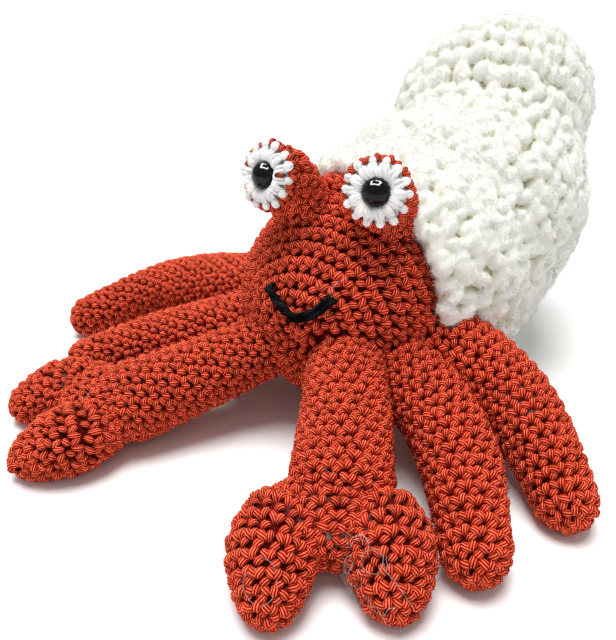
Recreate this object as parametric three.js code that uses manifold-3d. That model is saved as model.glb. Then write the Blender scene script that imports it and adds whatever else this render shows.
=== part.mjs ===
// A crocheted hermit crab: a stuffed toy with a ball-shaped head and body, two stalked eyes,
// a stitched mouth, two clawed arms and four legs, tucked into a thick whorled shell.
//
// Units are millimetres and +Z is up. The crab faces -Y and its own left side is +X.
// Every piece is a closed solid of the outside of the stuffed form. Pieces that touch keep
// a small gap, and whatever lies on the table is cut off flat at table height.

import * as THREE from "three";
import { mergeVertices } from "three/addons/utils/BufferGeometryUtils.js";
import Module from "manifold-3d";

const wasm = await Module();
wasm.setup();

// ---------------------------------------------------------------- driving sizes

const GAP = 0.3; // space kept between two pieces that touch
const LIMB_SIDES = 14; // facets around an arm, leg or finger
const LIMB_RINGS = 9; // rings along one

// The body is an egg on its side, snout forwards, whose hidden tail runs back into the shell.
// Places on the toy are given from x = 0, y = 0 over the egg's front half.
const BODY = {
  height: 33,
  snout: 30.5, // how far the snout reaches forwards
  girth: 32.2, // radius at the widest, just inside the shell
  widest: 5, // how far back that is
  tailRadius: 27,
  tailReach: 34,
  tailRounding: 12,
  sides: 28,
};

// Each eye is a stalk that ends in a white ring with a domed button in it.
const EYE = {
  buttonRadius: 3.55,
  buttonHeight: 3,
  ringRadius: 8.8,
  ringThickness: 3,
  stalkRadius: 8.2,
  stalkStraight: 4, // how far the stalk runs straight back before it turns down
};
const EYES = [
  { side: "left", front: [15.5, -17.5, 72], base: [14, 0, 58], heading: 8, tilt: 16 },
  { side: "right", front: [-14.5, -20.5, 73], base: [-10, -3, 56], heading: -9, tilt: 16 },
];

// The mouth is a thick thread laid on the face: degrees round from the snout and up from it.
const MOUTH = {
  radius: 1.25,
  reach: 32.1, // distance of the thread from the head's middle
  places: [[-20, 23], [-9, 17], [0, 12], [9, 16], [18, 24]],
};

// The shell is a bent, blunt cone: places on its axis, with the radius there.
const SHELL = {
  stations: [
    { at: [1.5, 8.5, 36], radius: 37 },
    { at: [8.5, 25, 37], radius: 38.5 },
    { at: [14.5, 41, 40], radius: 40 },
    { at: [19, 57, 49.5], radius: 37.5 },
    { at: [20, 71, 61.5], radius: 33 },
    { at: [19, 84, 72.5], radius: 32.5 },
    { at: [17.5, 97, 81], radius: 32 },
    { at: [16, 110, 87], radius: 31 },
  ],
  tipRounding: 0.3, // share of the length that rounds off to the closed tip
  slack: 0.13, // the rings turn gently: each follows the axis over this share either way
  grooveDepth: 1.8,
  grooveTurns: 2.6, // how many times the groove winds round from the lip to the tip
  grooveStart: 0.25, // where it starts, as a share of a turn
  sides: 28,
  rings: 22,
};

// Arms and legs: the middle of each at its root, its bend and its end, with the radii there.
const ARMS = [
  { name: "arm_left", middles: [[9, -18, 28], [18, -37, 21], [25, -54, 14]], radii: [10.4, 11.6, 13] },
  { name: "arm_right", middles: [[-9, -18, 26], [-26, -34, 18], [-40, -50, 13]], radii: [9, 10.4, 12] },
];
const LEGS = [
  { name: "leg_rear_left", middles: [[20, 1, 27], [53, -8, 18], [73, -29, 6.8]], radii: [12.6, 10.8, 7.2] },
  { name: "leg_front_left", middles: [[20, -10, 24], [45, -31, 15], [58, -55, 7]], radii: [10.6, 10, 7.4] },
  { name: "leg_rear_right", middles: [[-20, 1, 31], [-70, 4, 18], [-97, -11, 6.6]], radii: [11, 10, 7] },
  { name: "leg_front_right", middles: [[-20, -10, 24], [-54, -20, 13], [-77, -33, 6]], radii: [10.6, 9.6, 6.5] },
];

// A claw is a flattened palm with two fingers: distances ahead of the palm's middle and
// to each side of it, and the radii, at a finger's start, knuckle and tip.
const CLAW = {
  palmLong: 11.4,
  palmWide: 17.5,
  palmThick: 10.5,
  palmHeight: 10,
  fingerAhead: [-4, 5, 18.5],
  fingerAside: [6.5, 11.6, 12.8],
  fingerRadii: [8.8, 10.3, 5.6],
};
// The right claw is stuffed less full than the left. The inner finger is on the palm's right (-1)
// in the left claw and on its left (1) in the right claw, and outerExtra is how much further the
// outer finger reaches than the inner one.
const CLAWS = [
  { side: "left", at: [26.8, -63.4], heading: [0.45, -0.89], fullness: 1, inner: -1, outerExtra: -1.6 },
  { side: "right", at: [-50.6, -54.6], heading: [-0.75, -0.66], fullness: 0.92, inner: 1, outerExtra: 3.5 },
];

// ---------------------------------------------------------------- finishes

const RED_YARN = { color: 0xc8401f, roughness: 0.8, metalness: 0 };
const WHITE_YARN = { color: 0xf3f1ee, roughness: 0.8, metalness: 0 };
const CHENILLE = { color: 0xf6f4e8, roughness: 0.95, metalness: 0 };
const BLACK_YARN = { color: 0x141416, roughness: 0.7, metalness: 0 };
const BLACK_BUTTON = { color: 0x08080a, roughness: 0.12, metalness: 0 };

// ---------------------------------------------------------------- helpers

/** Turns a closed geometry into a solid that can be joined and cut. */
function toSolid(geometry) {
  const bare = geometry.clone();
  bare.deleteAttribute("normal");
  bare.deleteAttribute("uv");
  const merged = mergeVertices(bare, 1e-4);
  return new wasm.Manifold(new wasm.Mesh({
    numProp: 3,
    vertProperties: new Float32Array(merged.getAttribute("position").array),
    triVerts: new Uint32Array(merged.index.array),
  }));
}

/** Turns a solid back into a geometry. */
function toGeometry(solid) {
  const mesh = solid.getMesh();
  const geometry = new THREE.BufferGeometry();
  geometry.setAttribute("position", new THREE.BufferAttribute(new Float32Array(mesh.vertProperties), 3));
  geometry.setIndex(new THREE.BufferAttribute(new Uint32Array(mesh.triVerts), 1));
  geometry.computeVertexNormals();
  return geometry;
}

/** A smooth value along a piece, through evenly spaced ones. */
function smooth(values) {
  const last = values.length - 1;
  const curve = new THREE.SplineCurve(values.map((value, i) => new THREE.Vector2(i / last, value)));
  return (share) => curve.getPoint(share).y;
}

/** The unit vector at a heading round from -Y towards +X and a tilt above level, in degrees. */
function facing(heading, tilt) {
  const turn = THREE.MathUtils.degToRad(heading);
  const rise = THREE.MathUtils.degToRad(tilt);
  return new THREE.Vector3(
    Math.sin(turn) * Math.cos(rise),
    -Math.cos(turn) * Math.cos(rise),
    Math.sin(rise),
  );
}

/** Bends a turned geometry, which stands on Y from 0 to 1, so that it follows a curve. */
function bendAlong(geometry, placeAt, directionAt, scaleAt = () => 1) {
  const position = geometry.getAttribute("position");
  const up = new THREE.Vector3(0, 0, 1);
  for (let i = 0; i < position.count; i += 1) {
    const share = THREE.MathUtils.clamp(position.getY(i), 0, 1);
    const across = position.getX(i);
    const above = position.getZ(i);
    const scale = scaleAt(share, Math.atan2(above, across));
    const along = directionAt(share);
    const side = new THREE.Vector3().crossVectors(along, up).normalize();
    const over = new THREE.Vector3().crossVectors(side, along);
    const place = placeAt(share).clone();
    place.addScaledVector(side, across * scale).addScaledVector(over, above * scale);
    position.setXYZ(i, place.x, place.y, place.z);
  }
  return geometry;
}

/** A solid of revolution whose Y axis is moved to a point and turned to a direction. */
function turned(profile, at, direction, sides) {
  const geometry = new THREE.LatheGeometry(profile.map(([x, y]) => new THREE.Vector2(x, y)), sides);
  const turn = new THREE.Quaternion().setFromUnitVectors(new THREE.Vector3(0, 1, 0), direction);
  geometry.applyQuaternion(turn);
  geometry.translate(at.x, at.y, at.z);
  return toSolid(geometry);
}

/** A stuffed tube through three points, round at its tip and, if asked, at its start. */
function stuffedTube(points, radii, grow, roundStart) {
  const tip = radii[2];
  const ahead = points[2].clone().sub(points[1]).setLength(tip + grow);
  const curve = new THREE.CatmullRomCurve3([points[0], points[1], points[2].clone().add(ahead)]);
  const length = curve.getLength();
  const radiusAt = smooth(radii);
  const profile = [new THREE.Vector2(0, 0)];
  for (let i = 0; i < LIMB_RINGS; i += 1) {
    const share = roundStart
      ? (1 - Math.cos((Math.PI * (i + 0.5)) / (LIMB_RINGS + 0.5))) / 2
      : Math.sin((Math.PI / 2) * (i / LIMB_RINGS));
    const toTip = Math.max(0, tip - length * (1 - share)) / tip;
    const toStart = roundStart ? Math.max(0, radii[0] - length * share) / radii[0] : 0;
    const rounding = Math.sqrt(1 - Math.max(toTip, toStart) ** 2);
    profile.push(new THREE.Vector2((radiusAt(share) + grow) * rounding, share));
  }
  profile.push(new THREE.Vector2(0, 1));
  const geometry = new THREE.LatheGeometry(profile, LIMB_SIDES);
  return toSolid(bendAlong(geometry, (s) => curve.getPointAt(s), (s) => curve.getTangentAt(s)));
}

// ---------------------------------------------------------------- pieces

/** The egg-shaped body with its tail. */
function body(grow = 0) {
  const profile = [];
  const quarter = Math.PI / 2;
  const length = BODY.snout + BODY.widest + grow;
  for (let i = 0; i <= 12; i += 1) {
    const angle = (i / 12) * quarter;
    profile.push([(BODY.girth + grow) * Math.sin(angle), BODY.widest - length * Math.cos(angle)]);
  }
  const rounding = BODY.tailRounding;
  for (let i = 0; i <= 4; i += 1) {
    const angle = (i / 4) * quarter;
    profile.push([
      BODY.tailRadius + grow - rounding * (1 - Math.cos(angle)),
      BODY.tailReach + grow - rounding * (1 - Math.sin(angle)),
    ]);
  }
  profile.push([0, BODY.tailReach + grow]);
  const centre = new THREE.Vector3(0, 0, BODY.height);
  return turned(profile, centre, new THREE.Vector3(0, 1, 0), BODY.sides);
}

/** The whorled shell, with a shallow groove winding round it from the lip to the tip. */
function shell() {
  const places = SHELL.stations.map((station) => new THREE.Vector3(...station.at));
  const axis = new THREE.CatmullRomCurve3(places);
  const along = smooth(SHELL.stations.map((station) => station.radius));
  const tipShare = (share) => Math.max(0, (share - 1) / SHELL.tipRounding + 1);
  const radiusAt = (share) => along(share) * Math.sqrt(1 - tipShare(share) ** 2);
  const profile = [new THREE.Vector2(0, 0)];
  for (let i = 0; i < SHELL.rings; i += 1) {
    const share = Math.sin((Math.PI / 2) * (i / SHELL.rings));
    profile.push(new THREE.Vector2(radiusAt(share), share));
  }
  profile.push(new THREE.Vector2(0, 1));
  const grooved = (share, angle) => {
    const wound = Math.cos(2 * Math.PI * (share * SHELL.grooveTurns + SHELL.grooveStart) + angle);
    const fade = Math.min(1, share / 0.2, (1 - share) / 0.2);
    return 1 - (SHELL.grooveDepth * fade * wound) / Math.max(radiusAt(share), 1);
  };
  const geometry = new THREE.LatheGeometry(profile, SHELL.sides);
  const placeAt = (share) => axis.getPoint(THREE.MathUtils.clamp(share, 0, 1));
  const directionAt = (share) => (
    placeAt(share + SHELL.slack).sub(placeAt(share - SHELL.slack)).normalize()
  );
  return toSolid(bendAlong(geometry, placeAt, directionAt, grooved));
}

/** An arm or a leg. */
function limb({ middles, radii }, grow = 0) {
  return stuffedTube(middles.map((place) => new THREE.Vector3(...place)), radii, grow, false);
}

/** The flattened palm of a claw. */
function palm({ at, heading, fullness }, grow = 0) {
  const geometry = new THREE.SphereGeometry(1, 18, 10);
  geometry.rotateX(Math.PI / 2);
  geometry.scale(CLAW.palmLong + grow, CLAW.palmWide + grow, CLAW.palmThick * fullness + grow);
  geometry.rotateZ(Math.atan2(heading[1], heading[0]));
  geometry.translate(at[0], at[1], CLAW.palmHeight * fullness);
  return toSolid(geometry);
}

/** One finger of a claw, on the palm's left (1) or right (-1). */
function finger({ at, heading, fullness, inner, outerExtra }, hand, grow = 0) {
  const forward = new THREE.Vector3(heading[0], heading[1], 0).normalize();
  const aside = new THREE.Vector3(-forward.y, forward.x, 0).multiplyScalar(hand);
  const radii = CLAW.fingerRadii.map((radius) => radius * fullness);
  const extra = hand === inner ? 0 : outerExtra;
  const points = radii.map((radius, i) => (
    new THREE.Vector3(at[0], at[1], radius - GAP)
      .addScaledVector(forward, CLAW.fingerAhead[i] + (extra * i) / 2)
      .addScaledVector(aside, CLAW.fingerAside[i])
  ));
  return stuffedTube(points, radii, grow, true);
}

/** The stalk behind an eye, from the back of the white ring down into the head. */
function eyeStalk({ front, base, heading, tilt }, grow = 0) {
  const back = facing(heading, tilt).negate();
  const start = new THREE.Vector3(...front).addScaledVector(back, EYE.ringThickness);
  const turn = start.clone().addScaledVector(back, EYE.stalkStraight);
  const radii = [EYE.stalkRadius, EYE.stalkRadius, EYE.stalkRadius];
  return stuffedTube([start, turn, new THREE.Vector3(...base)], radii, grow, false);
}

/** The space that the white ring takes, and all in front of it. */
function ringRoom({ front, heading, tilt }) {
  const out = facing(heading, tilt);
  const back = new THREE.Vector3(...front).addScaledVector(out, -EYE.ringThickness - GAP);
  const radius = 2 * EYE.ringRadius;
  return turned([[0, 0], [radius, 0], [radius, radius], [0, radius]], back, out, 20);
}

/** The white ring, with a hollow in its face for the button. */
function eyeRing({ front, heading, tilt }) {
  const out = facing(heading, tilt);
  const back = new THREE.Vector3(...front).addScaledVector(out, -EYE.ringThickness);
  const { ringRadius: radius, ringThickness: thick } = EYE;
  const seat = EYE.buttonRadius + GAP;
  const profile = [
    [0, 0], [radius - 0.8, 0], [radius, thick / 2], [radius - 1.2, thick],
    [seat, thick], [seat - 0.4, thick - 1], [0, thick - 1],
  ];
  return turned(profile, back, out, 20);
}

/** The domed button, seated in the ring's hollow. */
function eyeButton({ front, heading, tilt }) {
  const out = facing(heading, tilt);
  const seat = new THREE.Vector3(...front).addScaledVector(out, GAP - 1);
  const profile = [[0, 0], [EYE.buttonRadius - 0.5, 0]];
  for (let i = 0; i < 6; i += 1) {
    const angle = (i / 6) * (Math.PI / 2);
    profile.push([EYE.buttonRadius * Math.cos(angle), 1 - GAP + EYE.buttonHeight * Math.sin(angle)]);
  }
  profile.push([0, 1 - GAP + EYE.buttonHeight]);
  return turned(profile, seat, out, 16);
}

/** The thread of the mouth, lying on the face. */
function mouth() {
  const centre = new THREE.Vector3(0, 0, BODY.height);
  const path = new THREE.CatmullRomCurve3(MOUTH.places.map(([heading, tilt]) => (
    facing(heading, tilt).multiplyScalar(MOUTH.reach).add(centre)
  )), false, "chordal");
  const section = new THREE.Shape();
  section.absarc(0, 0, MOUTH.radius, 0, 2 * Math.PI, false);
  return toSolid(new THREE.ExtrudeGeometry(section, { steps: 16, curveSegments: 8, extrudePath: path }));
}

// ---------------------------------------------------------------- assembly

const toy = new THREE.Group();

const slab = new THREE.BoxGeometry(1000, 1000, 200);
slab.translate(0, 0, -100);
const table = toSolid(slab);

/** Names a piece, cuts it away from the solids it rests on or against, and adds it. */
function add(name, finish, solid, neighbours = []) {
  const cut = neighbours.reduce((left, neighbour) => left.subtract(neighbour), solid.subtract(table));
  const mesh = new THREE.Mesh(toGeometry(cut), new THREE.MeshStandardMaterial(finish));
  mesh.name = name;
  toy.add(mesh);
}

const room = {
  body: body(GAP),
  arms: ARMS.map((arm) => limb(arm, GAP)),
  legs: LEGS.map((leg) => limb(leg, GAP)),
  palms: CLAWS.map((claw) => palm(claw, GAP)),
  fingers: CLAWS.flatMap((claw) => [finger(claw, 1, GAP), finger(claw, -1, GAP)]),
  stalks: EYES.map((eye) => eyeStalk(eye, GAP)),
};

add("body", RED_YARN, body());
add("shell", CHENILLE, shell(), [room.body, ...room.legs, ...room.stalks]);
add("mouth", BLACK_YARN, mouth(), [room.body]);
ARMS.forEach((arm) => add(arm.name, RED_YARN, limb(arm), [room.body, ...room.palms]));
LEGS.forEach((leg, i) => {
  const earlier = [...room.arms, ...room.palms, ...room.fingers, ...room.legs.slice(0, i)];
  add(leg.name, RED_YARN, limb(leg), [room.body, ...earlier]);
});
CLAWS.forEach((claw, i) => {
  const against = [room.palms[i], room.arms[i]];
  add("palm_" + claw.side, RED_YARN, palm(claw));
  add("finger_inner_" + claw.side, RED_YARN, finger(claw, claw.inner), against);
  add("finger_outer_" + claw.side, RED_YARN, finger(claw, -claw.inner), against);
});
EYES.forEach((eye) => {
  add("eyestalk_" + eye.side, RED_YARN, eyeStalk(eye), [room.body, ringRoom(eye)]);
  add("eye_white_" + eye.side, WHITE_YARN, eyeRing(eye));
  add("eye_" + eye.side, BLACK_BUTTON, eyeButton(eye));
});

// The origin is under the middle of the whole toy, at table height.
const extent = new THREE.Box3().setFromObject(toy);
const middle = extent.getCenter(new THREE.Vector3());
toy.position.set(-middle.x, -middle.y, -extent.min.z);

export default toy;
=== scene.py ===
"""A stuffed, crocheted hermit crab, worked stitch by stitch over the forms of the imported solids.

The classes hold their sizes in millimetres, in the toy's own setting-out: x = 0 and y = 0 lie
over the front half of the body's egg, z = 0 is the table, the crab faces -Y and its own left
side is +X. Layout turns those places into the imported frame, in metres.
"""

from __future__ import annotations

import logging
import math
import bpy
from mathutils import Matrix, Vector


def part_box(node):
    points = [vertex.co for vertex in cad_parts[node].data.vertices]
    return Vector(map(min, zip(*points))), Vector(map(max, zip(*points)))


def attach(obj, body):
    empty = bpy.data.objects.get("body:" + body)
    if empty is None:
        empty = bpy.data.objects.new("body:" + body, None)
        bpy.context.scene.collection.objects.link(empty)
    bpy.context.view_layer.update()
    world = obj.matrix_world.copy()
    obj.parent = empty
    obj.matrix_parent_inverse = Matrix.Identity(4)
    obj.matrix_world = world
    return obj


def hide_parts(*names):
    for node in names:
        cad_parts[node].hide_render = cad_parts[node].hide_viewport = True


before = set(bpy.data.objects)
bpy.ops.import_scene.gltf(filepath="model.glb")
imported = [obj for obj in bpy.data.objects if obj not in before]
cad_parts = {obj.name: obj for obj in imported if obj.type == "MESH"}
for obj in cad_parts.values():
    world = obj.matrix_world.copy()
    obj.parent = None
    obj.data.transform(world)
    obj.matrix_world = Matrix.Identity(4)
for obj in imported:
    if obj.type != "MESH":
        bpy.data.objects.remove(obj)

import zlib
from dataclasses import dataclass
from enum import Enum
from typing import Callable, Optional, Sequence, Union

import bpy
import numpy as np
from mathutils import Matrix
from mathutils.kdtree import KDTree

log = logging.getLogger("hermit_crab")
Array = np.ndarray
Place = tuple[float, float, float]
Route = tuple[Place, ...]
Colour = tuple[float, float, float]
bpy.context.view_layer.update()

# ---------------------------------------------------------------- vectors and curves


def normalised(vectors: Array) -> Array:
    """Unit vectors along the last axis, with zero left as zero."""
    length = np.linalg.norm(vectors, axis=-1, keepdims=True)
    return vectors / np.maximum(length, 1e-9)


def facing(heading: float, tilt: float) -> Array:
    """The unit vector at a heading round from -Y towards +X and a tilt above level, in degrees."""
    turn, rise = math.radians(heading), math.radians(tilt)
    return np.array([math.sin(turn) * math.cos(rise), -math.cos(turn) * math.cos(rise), math.sin(rise)])


def seeded(name: str) -> np.random.Generator:
    """A random generator that depends only on a name."""
    return np.random.default_rng(zlib.crc32(name.encode()))


def through(places: Array, share: Array) -> Array:
    """Points on the smooth centripetal curve through some places.

    Args:
        places: the places, one row each.
        share: where along the curve, 0 to 1, in any shape.

    Returns:
        The points, in the shape of share with the places' columns added.
    """
    places = np.asarray(places, float)
    last = len(places) - 1
    spot = np.clip(np.asarray(share, float), 0, 1) * last
    start = np.minimum(spot.astype(int), last - 1)
    local = (spot - start)[..., None]
    ends = np.vstack([2 * places[0] - places[1], places, 2 * places[-1] - places[-2]])
    a, b, c, d = (ends[start + i] for i in range(4))
    before, here, after = (
        np.maximum(np.linalg.norm(far - near, axis=-1, keepdims=True), 1e-9) ** 0.5
        for near, far in ((a, b), (b, c), (c, d))
    )
    leave = ((b - a) / before - (c - a) / (before + here) + (c - b) / here) * here
    arrive = ((c - b) / here - (d - b) / (here + after) + (d - c) / after) * here
    cubic = 2 * b - 2 * c + leave + arrive
    square = -3 * b + 3 * c - 2 * leave - arrive
    return ((cubic * local + square) * local + leave) * local + b


def smooth(values: Sequence[float], share: Array) -> Array:
    """A value that runs smoothly through evenly spaced ones, at shares from 0 to 1."""
    values = np.asarray(values, float)
    last = len(values) - 1
    spot = np.clip(np.asarray(share, float), 0, 1) * last
    start = np.minimum(spot.astype(int), last - 1)
    local = spot - start
    a, b = values[np.maximum(start - 1, 0)], values[start]
    c, d = values[start + 1], values[np.minimum(start + 2, last)]
    leave, arrive = (c - a) / 2, (d - b) / 2
    cubic = 2 * b - 2 * c + leave + arrive
    square = -3 * b + 3 * c - 2 * leave - arrive
    return ((cubic * local + square) * local + leave) * local + b


def pressed(points: Array, softness: float = 0.5) -> Array:
    """The points with whatever would sink into the table pressed up flat against it."""
    out = points.copy()
    height = points[..., 2]
    out[..., 2] = 0.5 * (height + np.sqrt(height**2 + softness**2))
    return out


def lumps(points: Array, size: float) -> Array:
    """A smooth unevenness from about -1 to 1.

    Args:
        points: the places, in millimetres.
        size: how far apart two lumps lie, in millimetres.

    Returns:
        The unevenness at each place.
    """
    rng = seeded("lumps")
    count = 9
    ways = normalised(rng.normal(size=(count, 3)))
    waves = ways * (2 * math.pi / size) * rng.uniform(0.7, 1.4, (count, 1))
    shift = rng.uniform(0, 2 * math.pi, count)
    return np.clip(np.sin(points @ waves.T + shift).sum(axis=-1) / math.sqrt(count), -1, 1)


def triangles(piece: bpy.types.Object) -> int:
    """How many triangles a piece's faces make."""
    return len(piece.data.loops) - 2 * len(piece.data.polygons)


class Layout:
    """Where the toy's own setting-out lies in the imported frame."""

    def __init__(self, snout_reach: float) -> None:
        """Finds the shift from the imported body.

        Args:
            snout_reach: how far the body reaches forwards of y = 0, in millimetres.
        """
        low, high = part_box("body")
        self.shift = np.array([(low[0] + high[0]) / 2, low[1] + snout_reach / 1000, 0.0])

    def to_frame(self, points: Array) -> Array:
        """Points in millimetres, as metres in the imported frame."""
        return np.asarray(points, float) / 1000 + self.shift


# ---------------------------------------------------------------- forms

WELL_OUTSIDE = -50.0  # depth of a point that lies clear of a form, in millimetres


class Form:
    """The outside of one stuffed piece: share runs from its tip to its end, turn goes round it."""

    def surface(self, share: Array, turn: Array) -> Array:
        """Points on the outside.

        Args:
            share: 0 at the tip to 1 at the end.
            turn: whole turns round the axis.

        Returns:
            The points, in millimetres.
        """
        raise NotImplementedError

    def middle(self, share: Array) -> Array:
        """Points on the axis."""
        raise NotImplementedError

    def depth(self, points: Array) -> Array:
        """How far inside the form each point is, in millimetres, negative outside."""
        raise NotImplementedError

    def outward(self, share: Array, turn: Array) -> Array:
        """Unit vectors that stand square on the outside.

        Args:
            share: 0 at the tip to 1 at the end.
            turn: whole turns round the axis.

        Returns:
            The unit vectors.
        """
        step = 2e-3
        share = np.clip(share, 2 * step, 1 - step)
        along = self.surface(share + step, turn) - self.surface(share - step, turn)
        around = self.surface(share, turn + step) - self.surface(share, turn - step)
        square = normalised(np.cross(along, around))
        away = self.surface(share, turn) - self.middle(share)
        side = np.where((square * away).sum(-1, keepdims=True) < 0, -1.0, 1.0)
        return square * side

    def measure(self) -> tuple[Array, Array, Array]:
        """Shares from tip to end, with the distance over the outside and the girth at each."""
        stations, spokes = 300, 24
        share = np.linspace(0, 1, stations)
        grid = self.surface(share[:, None], np.arange(spokes)[None, :] / spokes)
        steps = np.linalg.norm(np.diff(grid, axis=0), axis=2).mean(axis=1)
        girth = np.linalg.norm(grid - np.roll(grid, 1, axis=1), axis=2).sum(axis=1)
        return share, np.concatenate([[0.0], np.cumsum(steps)]), girth


@dataclass
class Egg(Form):
    """An egg on its side with a blunt tail, turned about a level axis along Y."""

    height: float = 33.0
    snout: float = 30.5
    girth: float = 32.2
    widest: float = 5.0
    tail_radius: float = 27.0
    tail_reach: float = 34.0
    tail_rounding: float = 12.0
    nose_share: float = 0.62  # how much of the share lies in front of the widest place
    slope_share: float = 0.6  # how much of the rest lies before the tail's rounding

    def profile(self, share: Array) -> tuple[Array, Array]:
        """Distance from the axis and place along it, from the snout to the tail's end."""
        nose = np.clip(share / self.nose_share, 0, 1) * math.pi / 2
        radius = self.girth * np.sin(nose)
        along = self.widest - (self.snout + self.widest) * np.cos(nose)
        tail = np.clip((share - self.nose_share) / (1 - self.nose_share), 0, 1)
        corner = self.tail_reach - self.tail_rounding
        slope = np.clip(tail / self.slope_share, 0, 1)
        bend = np.clip((tail - self.slope_share) / (1 - self.slope_share), 0, 1) * math.pi / 2
        radius = radius - (self.girth - self.tail_radius) * slope
        radius = radius - self.tail_radius * (1 - np.cos(bend))
        along = along + (corner - self.widest) * slope + self.tail_rounding * np.sin(bend)
        return radius, along

    def surface(self, share: Array, turn: Array) -> Array:
        """Points on the egg."""
        radius, along = self.profile(share)
        radius, along, turn = np.broadcast_arrays(radius, along, turn)
        angle = 2 * math.pi * turn
        return np.stack([radius * np.cos(angle), along, self.height + radius * np.sin(angle)], axis=-1)

    def middle(self, share: Array) -> Array:
        """Points on the egg's axis, kept off its very ends."""
        _, along = self.profile(share)
        along = np.clip(along, 0.6 * -self.snout, 0.6 * self.tail_reach)
        return np.stack([0 * along, along, self.height + 0 * along], axis=-1)

    def depth(self, points: Array) -> Array:
        """How far inside the egg each point is, square to its axis."""
        share = np.linspace(0, 1, 400)
        radius, along = self.profile(share)
        reach = np.interp(points[..., 1], along, radius, left=WELL_OUTSIDE, right=WELL_OUTSIDE)
        return reach - np.hypot(points[..., 0], points[..., 2] - self.height)


@dataclass
class Tube(Form):
    """A stuffed tube through three places, round at its tip and, if asked, at its far end."""

    middles: tuple[Place, Place, Place]
    radii: tuple[float, float, float]
    round_end: bool = False

    def __post_init__(self) -> None:
        """Lays out the tube's axis and measures along it."""
        places = np.array(self.middles, float)
        ahead = normalised(places[2] - places[1]) * self.radii[2]
        self.places = np.vstack([places[:2], places[2] + ahead])
        self.spots = np.linspace(0, 1, 600)
        line = through(self.places, self.spots)
        steps = np.linalg.norm(np.diff(line, axis=0), axis=1)
        self.run = np.concatenate([[0.0], np.cumsum(steps)])
        self.length = self.run[-1]

    def middle(self, share: Array) -> Array:
        """Points on the axis, 0 at the tip."""
        return through(self.places, np.interp((1 - np.asarray(share)) * self.length, self.run, self.spots))

    def radius(self, share: Array) -> Array:
        """The radius, with the tip rounded and the far end too if asked."""
        back = 1 - np.asarray(share, float)
        tip = self.radii[2]
        to_tip = np.clip(tip - self.length * (1 - back), 0, tip) / tip
        start = self.radii[0]
        to_end = np.clip(start - self.length * back, 0, start) / start if self.round_end else 0 * back
        return smooth(self.radii, back) * np.sqrt(1 - np.maximum(to_tip, to_end) ** 2)

    def surface(self, share: Array, turn: Array) -> Array:
        """Points on the tube, pressed flat where it lies on the table."""
        share, turn = np.broadcast_arrays(np.asarray(share, float), np.asarray(turn, float))
        centre = self.middle(share)
        after, before = (self.middle(np.clip(share + step, 0, 1)) for step in (5e-3, -5e-3))
        along = normalised(after - before)
        side = normalised(np.cross(along, [0.0, 0.0, 1.0]))
        over = np.cross(side, along)
        angle = 2 * math.pi * turn[..., None]
        spoke = np.cos(angle) * side + np.sin(angle) * over
        return pressed(centre + self.radius(share)[..., None] * spoke)

    def depth(self, points: Array) -> Array:
        """How far inside the tube each point is."""
        share = np.linspace(0, 1, 80)
        centres = self.middle(share)
        gaps = np.linalg.norm(points[..., None, :] - centres, axis=-1)
        return (self.radius(share) - gaps).max(axis=-1)


@dataclass
class Pad(Form):
    """A flattened pad whose rows go round the line that it points along."""

    at: tuple[float, float]
    heading: tuple[float, float]
    long: float
    wide: float
    thick: float
    height: float

    def axes(self) -> tuple[Array, Array, Array, Array]:
        """The pad's middle and the unit vectors ahead, to its side and up."""
        ahead = normalised(np.array([*self.heading, 0.0]))
        side = np.array([-ahead[1], ahead[0], 0.0])
        return np.array([*self.at, self.height]), ahead, side, np.array([0.0, 0.0, 1.0])

    def surface(self, share: Array, turn: Array) -> Array:
        """Points on the pad, from the front to the back."""
        share, turn = np.broadcast_arrays(np.asarray(share, float), np.asarray(turn, float))
        centre, ahead, side, up = self.axes()
        lift, angle = math.pi * share[..., None], 2 * math.pi * turn[..., None]
        spoke = np.cos(angle) * side * self.wide + np.sin(angle) * up * self.thick
        return pressed(centre + np.cos(lift) * ahead * self.long + np.sin(lift) * spoke)

    def middle(self, share: Array) -> Array:
        """Points on the pad's line, near its middle."""
        centre, ahead, _, _ = self.axes()
        return centre + 0.5 * np.cos(math.pi * np.asarray(share))[..., None] * ahead * self.long

    def depth(self, points: Array) -> Array:
        """How far inside the pad each point is, roughly."""
        centre, ahead, side, up = self.axes()
        away = points - centre
        scaled = [away @ ahead / self.long, away @ side / self.wide, away @ up / self.thick]
        return (1 - np.linalg.norm(np.stack(scaled, axis=-1), axis=-1)) * self.long


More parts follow.
